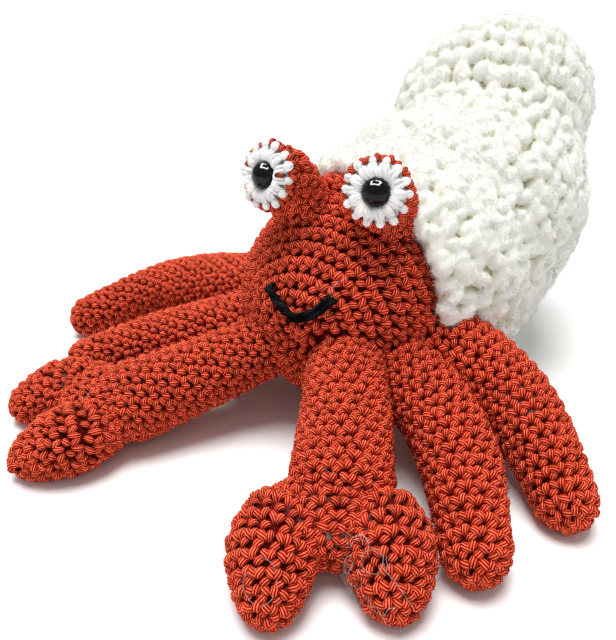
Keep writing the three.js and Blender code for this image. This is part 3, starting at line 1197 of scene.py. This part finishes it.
@dataclass
class Stuffed:
    """One stuffed piece: a form covered with stitches over its filling."""

    node: str
    form: Form
    crochet: Crochet
    against: tuple[Form, ...] = ()
    stretched: tuple[tuple[Place, float], ...] = ()
    overlap: float = 1.4  # how deep in a neighbour a stitch may start
    in_frame: bool = True  # whether a node of the frame has this name

    def keep(self, points: Array) -> Array:
        """Which places are not inside a neighbour."""
        kept = np.ones(len(points), bool)
        for other in self.against:
            kept &= other.depth(points) < self.overlap
        return kept

    def stretch(self, points: Array) -> Array:
        """How much of the filling shows at each point."""
        patch_size = 7.0
        shown = np.zeros(points.shape[:-1])
        for centre, reach in self.stretched:
            near = 1.3 - np.linalg.norm(points - np.array(centre), axis=-1) / reach
            patchy = 0.55 + 0.9 * lumps(points, patch_size)
            shown = np.maximum(shown, np.minimum(near, patchy))
        return np.clip(shown, 0, 1)

    def build(self, layout: Layout) -> None:
        """Makes the stitches and the skin of painted shadow and filling under them, hangs both on the root
        and hides the frame's node of this name if there is one.
        """
        stitches = self.crochet.work(self.form, self.keep, self.node)
        cover = stitches.make(self.node + "_stitches", layout, Finish.RED.material())
        # A skin under the stitches: painted shadow in their gaps, with the filling where they are
        # stretched.
        filling = Skein()
        depth = FILLING_DEPTH * self.crochet.yarn
        filling.skin(self.form, depth, FILLING_RINGS, FILLING_SIDES, self.stretch)
        inside = filling.make(self.node + "_filling", layout, Finish.RED_SHADE_AND_STUFFING.material())
        for piece in (cover, inside):
            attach(piece, "root")
        if self.in_frame:
            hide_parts(self.node)
        log.info("%s: %d triangles", cover.name, triangles(cover))


@dataclass
class Claw:
    """A claw's palm and its two fingers."""

    side: str
    at: tuple[float, float]
    heading: tuple[float, float]
    fullness: float  # its thickness, over that of the fuller claw
    inner: int  # the hand of its inner finger: 1 on its left, -1 on its right
    outer_extra: float  # how much further the outer finger reaches
    palm_size: Place = (11.4, 17.5, 10.5)
    palm_height: float = 10.0
    finger_ahead: Place = (-4.0, 5.0, 18.5)
    finger_aside: Place = (6.5, 11.6, 12.8)
    finger_radii: Place = (8.8, 10.3, 5.6)
    finger_sunk: float = 0.3  # how much a finger is pressed down on the table
    crotch_ahead: float = 6.0
    crotch_height: float = 12.0
    crotch_reach: float = 9.0  # how far round the crotch the stitches are stretched
    overlap: float = 2.6

    def palm(self) -> Pad:
        """The palm's form."""
        long, wide, thick = self.palm_size
        thick, height = thick * self.fullness, self.palm_height * self.fullness
        return Pad(self.at, self.heading, long, wide, thick, height)

    def finger(self, hand: int) -> Tube:
        """The form of the finger on the palm's left (1) or right (-1)."""
        ahead = normalised(np.array([*self.heading]))
        aside = np.array([-ahead[1], ahead[0]]) * hand
        radii = tuple(radius * self.fullness for radius in self.finger_radii)
        extra = 0 if hand == self.inner else self.outer_extra
        middles = []
        for i, radius in enumerate(radii):
            reach = self.finger_ahead[i] + extra * i / 2
            flat = np.array(self.at) + ahead * reach + aside * self.finger_aside[i]
            middles.append((*flat, radius - self.finger_sunk))
        return Tube(tuple(middles), radii, round_end=True)

    def crotch(self) -> Place:
        """Where the palm is stretched between the fingers."""
        ahead = normalised(np.array([*self.heading]))
        return (*(np.array(self.at) + self.crotch_ahead * ahead), self.crotch_height * self.fullness)

    def pieces(self, arm: Tube) -> list[Stuffed]:
        """The palm and fingers, each kept clear of the others and of the arm."""
        palm, inner, outer = self.palm(), self.finger(self.inner), self.finger(-self.inner)
        stretched = ((self.crotch(), self.crotch_reach),)
        return [
            Stuffed(name + self.side, form, CLAW_CROCHET, against, stretched, self.overlap)
            for name, form, against in (
                ("palm_", palm, (arm, inner, outer)),
                ("finger_inner_", inner, (palm, arm)),
                ("finger_outer_", outer, (palm, arm)),
            )
        ]


# The small red stitch on the face of the right eye's ring, across, up and out from its middle.
FACE_STITCH = ((-5.1, 0.9, 0.0), (-5.5, 0.9, 1.2), (-6.2, 1.0, 1.2), (-6.6, 1.0, 0.0))


@dataclass
class Eye:
    """A stalk, the white ring on its end, and the domed button in the ring."""

    side: str
    front: Place
    base: Place
    heading: float
    tilt: float
    face_stitches: tuple[Route, ...] = ()  # red, given across, up and out from the face's middle
    button_radius: float = 3.55
    button_height: float = 3.0
    button_sunk: float = 0.95  # how far the button's flat back lies behind the ring's face
    button_sides: int = 48
    ring_thickness: float = 3.0
    stalk_radius: float = 8.2
    stalk_straight: float = 4.0
    rays: int = 14
    ray_path: Route = ((3.5, 0.0, -0.9), (4.4, 0.01, 0.3), (5.9, 0.08, 0.5), (7.2, 0.15, -1.1))
    ray_yarn: float = 0.9
    knob_path: Route = ((6.9, 0.0, -1.6), (7.4, 0.0, -0.7), (8.0, 0.0, -0.7), (8.3, 0.0, -1.7))
    knob_yarn: float = 1.15
    trim_path: Route = ((7.2, 0.0, -2.4), (7.9, 0.1, -1.5), (8.6, 0.2, -1.9), (8.7, 0.24, -3.4))
    trim_yarn: float = 0.85
    disc_radius: float = 7.6
    disc_sides: int = 24

    def frame(self) -> tuple[Array, Array, Array]:
        """Unit vectors out of the eye, to its right as it looks, and up its face."""
        out = facing(self.heading, self.tilt)
        across = normalised(np.cross(out, [0.0, 0.0, 1.0]))
        return out, across, np.cross(across, out)

    def stalk(self) -> Tube:
        """The stalk's form, whose far end is behind the ring."""
        out, _, _ = self.frame()
        start = np.array(self.front) - out * self.ring_thickness
        turn = start - out * self.stalk_straight
        return Tube((tuple(start), tuple(turn), self.base), (self.stalk_radius,) * 3)

    def on_face(self, radius: Array, turn: Array, lift: Array) -> Array:
        """Points on the ring: distance from its middle, turns round it, and height off its face."""
        out, across, up = self.frame()
        angle = 2 * math.pi * turn
        flat = radius[..., None] * (np.cos(angle)[..., None] * across + np.sin(angle)[..., None] * up)
        return np.array(self.front) + flat + lift[..., None] * out

    def ray_set(self, skein: Skein, start: float, path: Route, hand: int, yarn: float, seed: str) -> None:
        """Adds one strand for each ray.

        Args:
            skein: takes the strands.
            start: where the first starts, in rays round the face.
            path: places along a strand: distance out, set-over in rays, height off the face.
            hand: 1 or -1, the way in which it sets over.
            yarn: the strand's radius.
            seed: a name that settles the unevenness.
        """
        rng = seeded(self.side + seed)
        stations, number = 11, self.rays
        turns = np.arange(number) / number + start / number
        places = through(np.array(path) * (1, hand, 1), np.linspace(0, 1, stations))
        radius = places[None, :, 0] * (1 + 0.02 * rng.normal(size=(number, 1)))
        turn = turns[:, None] + (places[None, :, 1] + 0.05 * rng.normal(size=(number, 1))) / self.rays
        lift = places[None, :, 2] + 0.1 * rng.normal(size=(number, 1))
        line = self.on_face(radius, turn, lift)
        out, _, _ = self.frame()
        outward = np.broadcast_to(out, line.shape)
        swell = np.clip(np.sin(math.pi * np.linspace(0.06, 0.94, stations)), 0, 1) ** 0.45
        thick = yarn * swell[None] * (1 + 0.07 * rng.normal(size=(number, 1)))
        root = np.stack([turns % 1, 0 * turns + 0.5], axis=-1) * 0.99
        skein.strands(line, outward, thick, COTTON_PLY, root)

    def white(self, layout: Layout) -> bpy.types.Object:
        """The white ring: a well round the button, pairs of plump rays and a knob between two pairs."""
        skein = Skein()
        self.ray_set(skein, -0.27, self.ray_path, 1, self.ray_yarn, "left ray")
        self.ray_set(skein, 0.27, self.ray_path, -1, self.ray_yarn, "right ray")
        self.ray_set(skein, 0.0, self.knob_path, 1, self.knob_yarn, "knob")
        self.disc(skein)
        piece = skein.make("eye_ring_" + self.side, layout, Finish.WHITE.material())
        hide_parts("eye_white_" + self.side)
        return piece

    def disc(self, skein: Skein) -> None:
        """Adds the dense white middle that the rays lie on.

        Args:
            skein: takes the disc.
        """
        sides = self.disc_sides
        turn = np.arange(sides) / sides
        radius = self.disc_radius
        rings = ((0.3 * radius, -1.5), (radius, -1.2), (radius, -self.ring_thickness))
        points = np.stack([self.on_face(0 * turn + r, turn, 0 * turn + lift) for r, lift in rings])
        first = skein.take(points.reshape(-1, 3))
        index = first + np.arange(len(rings) * sides).reshape(-1, sides)
        ahead = np.roll(index, -1, axis=1)
        quads = np.stack([index[:-1], ahead[:-1], ahead[1:], index[1:]], axis=-1).reshape(-1, 4)
        if self._inwards(points):
            quads, index = quads[:, ::-1], index[:, ::-1]
        for faces in (quads, index[:1, ::-1], index[-1:]):
            corners = np.zeros((faces.size, 2))
            skein.faces.append((faces, corners, corners))

    def _inwards(self, points: Array) -> bool:
        """Whether faces made ring by ring would face into the disc."""
        one, two, three = points[1, 0], points[1, 1], points[2, 1]
        away = one - np.array(self.front)
        return float(np.dot(np.cross(two - one, three - one), away)) < 0

    def trim(self, layout: Layout) -> bpy.types.Object:
        """The red stitches that hold the ring, seen between the white knobs, and any on its face."""
        skein = Skein()
        self.ray_set(skein, 0.46, self.trim_path, -1, self.trim_yarn, "left trim")
        self.ray_set(skein, 0.54, self.trim_path, 1, self.trim_yarn, "right trim")
        out, across, up = self.frame()
        stations = 24
        ply = Ply(lobes=8, twist=1.2)
        for places in self.face_stitches:
            path = np.array([np.array(self.front) + a * across + b * up + c * out for a, b, c in places])
            line = through(path, np.linspace(0, 1, stations))[None]
            outward = normalised(np.broadcast_to(0.4 * out + up + 0.3 * across, line.shape))
            thick = np.full((1, stations), 0.75 * self.trim_yarn)
            skein.strands(line, outward, thick, ply, np.array([[0.1, 0.1]]))
        piece = skein.make("eye_trim_" + self.side, layout, Finish.RED.material())
        return piece

    def button(self, layout: Layout) -> bpy.types.Object:
        """The domed button, with a small rolled edge."""
        out, _, _ = self.frame()
        wide, sides = self.button_radius, self.button_sides
        rings = [(wide - 0.5, -self.button_sunk), (wide, -0.7), (wide, -0.2)]
        for angle in np.linspace(0.06, math.pi / 2, 16)[:-1]:
            rings.append((wide * math.cos(angle), self.button_height * math.sin(angle) - 0.05))
        turn = np.arange(sides) / sides
        places = [self.on_face(0 * turn + radius, turn, 0 * turn + lift) for radius, lift in rings]
        top = np.array(self.front) + out * (self.button_height - 0.05)
        points = np.concatenate([*places, top[None]])
        faces = []
        for ring in range(len(rings) - 1):
            for i in range(sides):
                a, b = ring * sides + i, ring * sides + (i + 1) % sides
                faces.append((a, b, b + sides, a + sides))
        last = (len(rings) - 1) * sides
        faces += [(last + i, last + (i + 1) % sides, len(points) - 1) for i in range(sides)]
        faces.append(tuple(range(sides))[::-1])
        mesh = bpy.data.meshes.new("eye_button_" + self.side)
        mesh.from_pydata(layout.to_frame(points).tolist(), [], faces)
        mesh.shade_smooth()
        mesh.update()
        piece = bpy.data.objects.new(mesh.name, mesh)
        mesh.materials.append(Finish.BUTTON.material())
        bpy.context.scene.collection.objects.link(piece)
        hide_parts("eye_" + self.side)
        return piece

    def build(self, layout: Layout, body: Form) -> None:
        """Makes the eye."""
        stalk = self.stalk()
        Stuffed("eyestalk_" + self.side, stalk, LEG_CROCHET, (body,)).build(layout)
        for piece in (self.white(layout), self.trim(layout), self.button(layout)):
            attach(piece, "root")
            log.info("%s: %d triangles", piece.name, triangles(piece))


@dataclass(frozen=True)
class Stretch:
    """One stretch of the smile, from one of its places to another."""

    first: int
    last: int
    strands: int
    turns: float  # that the strands make round each other
    thickness: float  # of a strand, in thread radii
    apart: float = 0.0  # breadth of strands that lie side by side, in thread radii, or 0 if they are wound
    swing: tuple[float, float] = (0.5, 0.4)  # how far a strand swings aside and up, in thread radii


@dataclass
class Mouth:
    """The smile: black thread laid over the face in two long stretches."""

    radius: float = 1.25
    reach: float = 32.1
    height: float = 33.0
    lift: float = 0.25
    dive: float = 2.2  # how deep the ends go into the face
    dive_share: float = 0.08
    stations: int = 30
    ply: Ply = Ply(lobes=5, depth=0.2, twist=2.2, flat=0.95)
    places: tuple[tuple[float, float], ...] = ((-20, 23), (-9, 17), (0, 12), (9, 16), (18, 24))
    right: Stretch = Stretch(first=0, last=2, strands=2, turns=1.6, thickness=0.66)
    left: Stretch = Stretch(2, 4, strands=3, turns=0.3, thickness=0.55, apart=2.1, swing=(0.1, 0.15))

    def lay(self, skein: Skein, stretch: Stretch) -> None:
        """Lays the strands of one stretch.

        Args:
            skein: takes the strands.
            stretch: the stretch.
        """
        centre = np.array([0.0, 0.0, self.height])
        places = [facing(*place) * self.reach + centre for place in self.places]
        share = np.linspace(0, 1, self.stations)
        dip = np.clip(np.minimum(share, 1 - share) / self.dive_share, 0, 1)
        run = through(np.array(places[stretch.first:stretch.last + 1]), share * 1.04 - 0.02)
        outward = normalised(run - centre)
        side = normalised(np.cross(np.gradient(run, axis=0), outward))
        thick = np.full((1, self.stations), self.radius * stretch.thickness)
        for strand in range(stretch.strands):
            spot = strand / stretch.strands
            turn = 2 * math.pi * (stretch.turns * share + spot)
            aside, up = stretch.swing
            if stretch.apart:
                shift, lift = (spot - 0.33) * stretch.apart + aside * np.sin(turn), up * np.cos(turn)
            else:
                shift, lift = aside * np.cos(turn), up * np.sin(turn)
            shift, lift = self.radius * shift, self.radius * lift + self.lift - self.dive * (1 - dip)
            line = run + side * shift[:, None] + outward * lift[:, None]
            root = np.array([[0.1 + 0.2 * stretch.first, 0.2 + 0.3 * spot]])
            skein.strands(line[None], outward[None], thick, self.ply, root)

    def build(self, layout: Layout) -> None:
        """Makes the thread: two twisted strands on the crab's right, and three side by side on its left."""
        skein = Skein()
        for stretch in (self.right, self.left):
            self.lay(skein, stretch)
        piece = skein.make("mouth_thread", layout, Finish.BLACK.material())
        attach(piece, "root")
        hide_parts("mouth")
        log.info("%s: %d triangles", piece.name, triangles(piece))


@dataclass
class Shell:
    """The thick chenille shell, whose fluff closes over its stitches."""

    form: Whorl
    against: tuple[Form, ...] = ()
    overlap: float = 1.5  # how deep in a neighbour the pile may stand
    pile: Pile = Pile(number=20000)
    rings: int = 340
    sides: int = 420
    crown: float = 2.6  # height, width and length of a leg's plump top
    wide: float = 2.6
    long: float = 4.0
    leg: tuple[tuple[float, float], ...] = ((-0.5, 0.12), (0.5, 0.38))  # its ends: rows up, stitches aside
    nearby: int = 6  # how many legs may close over one place
    sunk: float = 1.2  # how low the skin lies where there is no stitch
    rounding: int = 1  # how often the skin is evened out over the stitches
    # The creases found this way get painted shade: the deeper they lie, the darker they are painted.
    shading: int = 24  # how often it is evened out to tell creases from tops
    crease_start: float = 0.1  # how far under that evened skin a crease starts to darken
    crease_depth: float = 0.9  # and over how much more depth it goes fully dark
    fluff: tuple[tuple[float, float], ...] = ((0.13, 2.1), (0.06, 1.2))  # height and size of its clumps
    lengths: tuple[tuple[str, int], ...] = (("spire", 0), ("shoulder", 150), ("whorl", 245))  # first rings
    tuck: float = 1.5  # how deep a length's ends go under its neighbours

    def keep(self, points: Array) -> Array:
        """Which places are not inside the body, a leg or a stalk."""
        kept = np.ones(len(points), bool)
        for other in self.against:
            kept &= other.depth(points) < self.overlap
        return kept

    def legs(self) -> tuple[Array, Array]:
        """The two plump legs of every stitch: their middles and the unit vectors along them."""
        rng = seeded("shell")
        share, distance, girth = self.form.measure()
        turn, ahead, around = SHELL_SPIRAL.places(distance, girth)
        middles, ways = [], []
        for hand in (-1, 1):
            shift = 0.15 * rng.normal(size=(2, len(turn)))
            ends = []
            for up, across in self.leg:
                far = np.clip(ahead + SHELL_SPIRAL.row * (up + shift[0]), TIP_GAP, distance[-1])
                where = turn + (across * hand + 0.6 * shift[1] + 0.09 * rng.normal(size=len(turn))) / around
                ends.append(self.form.surface(np.interp(far, distance, share), where))
            middles.append((ends[0] + ends[1]) / 2)
            ways.append(normalised(ends[1] - ends[0]))
        return np.concatenate(middles), np.concatenate(ways)

    def heights(self, base: Array) -> Array:
        """How high the plump legs stand over the form.

        Args:
            base: places on the form by ring and side, in millimetres.

        Returns:
            The heights, in millimetres.
        """
        middles, ways = self.legs()
        rng = seeded("plump")
        crown = self.crown * (1 + 0.12 * rng.normal(size=len(middles)))
        wide = self.wide * (1 + 0.1 * rng.normal(size=len(middles)))
        tree = KDTree(len(middles))
        for i, middle in enumerate(middles.tolist()):
            tree.insert(middle, i)
        tree.balance()
        places = base.reshape(-1, 3)
        near = np.array([[i for _, i, _ in tree.find_n(place, self.nearby)] for place in places.tolist()])
        away = places[:, None] - middles[near]
        along = (away * ways[near]).sum(-1)
        off = (away**2).sum(-1) - along**2
        share = (along / self.long) ** 2 + off / wide[near] ** 2
        domes = crown[near] * np.sqrt(np.clip(1 - share, 0, 1))
        return domes.max(axis=-1).reshape(base.shape[:-1]) - self.sunk

    def skin(self) -> Sheet:
        """The fluffy skin over the stitches, with how much painted shade each place takes in its creases.
        """
        shares, distance, _ = self.form.measure()
        share = np.interp(np.linspace(0.004, 0.996, self.rings) * distance[-1], distance, shares)
        share, turn = np.meshgrid(share, np.arange(self.sides) / self.sides, indexing="ij")
        base = self.form.surface(share, turn)
        heights = softened(self.heights(base), self.rounding)
        broad = softened(heights, self.shading)
        for height, size in self.fluff:
            heights = heights + height * lumps(base, size)
        points = base + heights[..., None] * self.form.outward(share, turn)
        # Painted shade: the deeper a place lies under the evened skin, the darker its crease is painted.
        creased = (broad - heights - self.crease_start) / self.crease_depth
        return Sheet(points, share, turn, np.clip(creased, 0, 1))

    def build(self, layout: Layout) -> None:
        """Makes the skin in three lengths, with the pile on each."""
        skin = self.skin()
        ends = [first for _, first in self.lengths[1:]] + [self.rings - 1]
        for (name, low), high in zip(self.lengths, ends):
            cover = Skein()
            part = skin.part(low, high, self.tuck)
            cover.sheet(part)
            pieces = [("shell_" + name, cover)]
            for half in ("a", "b"):
                pieces.append((f"shell_{name}_pile_{half}", self.pile.grow(part, self.keep, name + half)))
            for label, skein in pieces:
                piece = skein.make(label, layout, Finish.CHENILLE.material())
                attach(piece, "root")
                if label == "shell_whorl":
                    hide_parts("shell")
                log.info("%s: %d triangles", piece.name, triangles(piece))


@dataclass
class Lint:
    """Loose fibres that cling to a form round one place."""

    name: str
    form: Form
    at: Place
    number: int
    spread: float  # how far from the place the fibres start
    length: float = 12.0
    curl: float = 0.35  # how much a fibre turns at each step
    radius: float = 0.07
    lift: float = 0.35
    ring: float = 0.0  # radius of a whole loop, in millimetres, if the fibres make one
    stations: int = 34

    def nearest(self) -> tuple[float, float]:
        """Where on the form the middle lies, as a share and a turn."""
        count = 160
        share, turn = np.meshgrid(np.linspace(0, 1, count), np.arange(count) / count, indexing="ij")
        gaps = np.linalg.norm(self.form.surface(share, turn) - np.array(self.at), axis=-1)
        best = np.unravel_index(gaps.argmin(), gaps.shape)
        return float(share[best]), float(turn[best])

    def steps(self, rng: np.random.Generator) -> tuple[Array, Array]:
        """How each fibre runs over the form.

        Args:
            rng: the random generator.

        Returns:
            Its heading at each station, in radians from the way to the form's end, and its step.
        """
        each = (self.number, 1)
        heading = rng.uniform(0, 2 * math.pi, each)
        bend = rng.normal(0, self.curl, (self.number, self.stations))
        drift = rng.normal(0, 0.12, each)
        if self.ring:
            bend = np.full_like(bend, 2 * math.pi / self.stations) + 0.25 * bend
            way = heading + np.cumsum(bend, axis=1)
            return way, np.full(each, 2 * math.pi * self.ring / self.stations)
        way = heading + (np.cumsum(bend, axis=1) * 0.6 + np.cumsum(drift + 0 * bend, axis=1))
        return way, self.length * rng.uniform(0.4, 1.2, each) / self.stations

    def build(self, layout: Layout) -> None:
        """Makes the fibres."""
        rng = seeded(self.name)
        shares, distance, girths = self.form.measure()
        share, turn = self.nearest()
        ahead, girth = np.interp(share, shares, distance), np.interp(share, shares, girths)
        way, step = self.steps(rng)
        over = ahead + rng.normal(0, self.spread, step.shape) + np.cumsum(step * np.cos(way), axis=1)
        round_ = rng.normal(0, self.spread, step.shape) + np.cumsum(step * np.sin(way), axis=1)
        end_gap = 0.5
        at = np.interp(np.clip(over, end_gap, distance[-1] - end_gap), distance, shares)
        where = turn + round_ / girth
        outward = self.form.outward(at, where)
        loft = self.lift * (0.6 + np.cumsum(rng.normal(0, 0.25, at.shape), axis=1))
        line = self.form.surface(at, where) + outward * np.clip(loft, 0.1, 1.3)[..., None]
        root = np.stack([where[:, 0] % 1, at[:, 0]], axis=-1)
        skein = Skein()
        skein.strands(line, outward, np.full(at.shape, self.radius), Ply(lobes=4), root)
        piece = skein.make("lint_" + self.name, layout, Finish.LINT.material())
        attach(piece, "root")
        log.info("%s: %d triangles", piece.name, triangles(piece))


@dataclass
# The fibres take on part of the painted crease shade of the skin under them.
class Studio:
    """The pale floor, the soft light and the camera."""

    azimuth: float = 27.8
    elevation: float = 28.3
    distance: float = 200.0
    aim: Place = (-8.1, -8.3, 26.4)
    lens: float = 37.3
    sensor: float = 36.0
    floor_reach: float = 30.0  # in metres
    world: float = 0.42
    sun: float = 3.75
    sun_from: Place = (-0.12, 0.05, 1.0)
    sun_angle: float = 38.0  # how broad it is, in degrees
    glints: float = 60.0  # brightness of the frame of lamps that only shines in what is glossy
    lamps_at: Place = (-40.0, 0.0, 430.0)
    lamps_aim: Place = (15.0, -17.0, 72.0)
    lamps_wide: float = 0.17  # half the frame's width, in metres, to the middle of its bars
    lamps_deep: float = 0.13
    lamps_bar: float = 0.07

    def build(self, layout: Layout) -> None:
        """Sets the studio up."""
        scene = bpy.context.scene
        floor = bpy.data.meshes.new("floor")
        far = self.floor_reach
        corners = [(-far, -far, 0), (far, -far, 0), (far, far, 0), (-far, far, 0)]
        floor.from_pydata(corners, [], [(0, 1, 2, 3)])
        floor.materials.append(Finish.FLOOR.material())
        ground = bpy.data.objects.new("floor", floor)
        scene.collection.objects.link(ground)
        world = bpy.data.worlds.new("studio")
        world.use_nodes = True
        world.node_tree.nodes["Background"].inputs[0].default_value = (1, 1, 1, 1)
        world.node_tree.nodes["Background"].inputs[1].default_value = self.world
        scene.world = world
        scene.view_settings.view_transform = "Standard"
        self.light_sun()
        self.softbox(layout)
        self.camera(layout)

    def light_sun(self) -> None:
        """Adds a broad soft light from overhead."""
        light = bpy.data.lights.new("overhead", "SUN")
        light.energy, light.angle = self.sun, math.radians(self.sun_angle)
        lamp = bpy.data.objects.new("overhead", light)
        lamp.visible_glossy = False
        self._aim(lamp, -np.array(self.sun_from))
        bpy.context.scene.collection.objects.link(lamp)

    def softbox(self, layout: Layout) -> None:
        """Adds a square frame of lamps over the toy, which shows as highlights only."""
        centre = layout.to_frame(np.array(self.lamps_at))
        look = normalised(layout.to_frame(np.array(self.lamps_aim)) - centre)
        side = normalised(np.cross(look, [0.0, 1.0, 0.0]))
        up = np.cross(side, look)
        wide, deep, bar = self.lamps_wide, self.lamps_deep, self.lamps_bar
        for name, shift, size in (
            ("back", up * deep, (2 * wide + bar, bar)),
            ("front", -up * deep, (2 * wide + bar, bar)),
            ("left", -side * wide, (bar, 2 * deep - bar)),
            ("right", side * wide, (bar, 2 * deep - bar)),
        ):
            light = bpy.data.lights.new("frame_" + name, "AREA")
            light.shape, light.size, light.size_y = "RECTANGLE", *size
            light.energy = self.glints * math.pi * size[0] * size[1]
            lamp = bpy.data.objects.new(light.name, light)
            lamp.location = centre + shift
            lamp.visible_diffuse = False
            lamp.visible_transmission = False
            self._aim(lamp, look, up)
            bpy.context.scene.collection.objects.link(lamp)

    def _aim(self, thing: bpy.types.Object, look: Array, up: Optional[Array] = None) -> None:
        """Turns a lamp or a camera so that it looks along a direction."""
        look = normalised(np.asarray(look, float))
        side = normalised(np.cross(look, [0.0, 0.0, 1.0] if up is None else up))
        over = np.cross(side, look)
        turn = np.stack([side, over, -look], axis=1)
        thing.rotation_euler = Matrix(turn.tolist()).to_euler()

    def camera(self, layout: Layout) -> None:
        """Adds the camera."""
        rise = math.radians(self.elevation)
        turn = math.radians(self.azimuth)
        back = np.array([math.sin(turn) * math.cos(rise), -math.cos(turn) * math.cos(rise), math.sin(rise)])
        camera = bpy.data.cameras.new("camera")
        camera.lens, camera.sensor_width, camera.clip_start = self.lens, self.sensor, 0.005
        viewer = bpy.data.objects.new("camera", camera)
        viewer.location = layout.to_frame(np.array(self.aim) + back * self.distance)
        self._aim(viewer, -back)
        bpy.context.scene.collection.objects.link(viewer)
        bpy.context.scene.camera = viewer


def main() -> None:
    """Builds the toy and its studio."""
    logging.basicConfig(level=logging.INFO, format="%(message)s")
    egg = Egg()
    layout = Layout(egg.snout)
    Studio().build(layout)
    whorl = Whorl(
        stations=(
            ((1.5, 8.5, 36), 37),
            ((8.5, 25, 37), 38.5),
            ((14.5, 41, 40), 40),
            ((19, 57, 49.5), 37.5),
            ((20, 71, 61.5), 33),
            ((19, 84, 72.5), 32.5),
            ((17.5, 97, 81), 32),
            ((16, 110, 87), 31),
        )
    )
    arms = {
        "arm_left": Tube(((9, -18, 28), (18, -37, 21), (25, -54, 14)), (10.4, 11.6, 13)),
        "arm_right": Tube(((-9, -18, 26), (-26, -34, 18), (-40, -50, 13)), (9, 10.4, 12)),
    }
    legs = {
        "leg_rear_left": Tube(((20, 1, 29.5), (53, -8, 18), (73, -29, 6.8)), (12.6, 10.8, 7.2)),
        "leg_front_left": Tube(((20, -10, 24), (45, -31, 15), (58, -55, 7)), (10.6, 10, 7.4)),
        "leg_rear_right": Tube(((-20, 1, 31), (-70, 4, 18), (-97, -11, 6.6)), (11, 10, 7)),
        "leg_front_right": Tube(((-20, -10, 24), (-54, -20, 13), (-77, -33, 6)), (10.6, 9.6, 6.5)),
    }
    claws = {
        "arm_left": Claw("left", (26.8, -63.4), (0.45, -0.89), fullness=1.0, inner=-1, outer_extra=-1.6),
        "arm_right": Claw("right", (-50.6, -54.6), (-0.75, -0.66), fullness=0.92, inner=1, outer_extra=3.5),
    }
    eyes = (
        Eye("left", (15.5, -17.5, 72), (14, 0, 58), 13, 16),
        Eye("right", (-14.5, -20.5, 73), (-10, -3, 56), -14, 16, face_stitches=(FACE_STITCH,)),
    )
    limbs = tuple(arms.values()) + tuple(legs.values())
    stalks = tuple(eye.stalk() for eye in eyes)
    Stuffed("body", egg, BODY_CROCHET, (whorl,) + limbs + stalks, overlap=6.5).build(layout)
    brow = Tube(((-13, 3, 59.5), (-4, 4.5, 61.5), (6, 4, 61.5)), (6.5, 7, 7), round_end=True)
    Stuffed("brow", brow, LEG_CROCHET, (egg,) + stalks, overlap=2.5, in_frame=False).build(layout)
    for name, form in arms.items():
        Stuffed(name, form, ARM_CROCHET, (egg, claws[name].palm())).build(layout)
        for piece in claws[name].pieces(form):
            piece.build(layout)
    knees = {"leg_rear_left": (((55, -20, 28), 8.0),)}
    earlier: tuple[Form, ...] = ()
    for name, form in legs.items():
        Stuffed(name, form, LEG_CROCHET, (egg,) + earlier, knees.get(name, ())).build(layout)
        earlier += (form,)
    for eye in eyes:
        eye.build(layout, egg)
    Mouth().build(layout)
    Shell(whorl, (egg,) + tuple(legs.values()) + stalks).build(layout)
    arm, left, right = arms["arm_left"], claws["arm_left"].finger(-1), claws["arm_left"].finger(1)
    for lint in (
        Lint("loop", left, (23.1, -86.0, 14.5), number=1, spread=0.1, ring=4.3, lift=0.6),
        Lint("tail", left, (29.0, -84.5, 7.0), number=3, spread=2.0, length=11, curl=0.15),
        Lint("crotch", right, (35.0, -73.5, 11.0), number=16, spread=2.6, length=13, curl=0.5, lift=0.9),
        Lint("curls", right, (41.5, -77.0, 10.0), number=6, spread=3.5, length=12, curl=0.4, lift=0.7),
        Lint("fingertip", right, (46.0, -79.0, 6.0), number=4, spread=4.0, length=12, curl=0.25),
        Lint("wrist", arm, (24.4, -62.5, 23.1), number=1, spread=0.2, length=5, curl=0.5, lift=1.0),
        Lint("smile", egg, (9.0, -27.0, 45.2), number=3, spread=1.2, length=9, curl=0.3, lift=1.0),
    ):
        lint.build(layout)


if __name__ == "__main__":
    main()
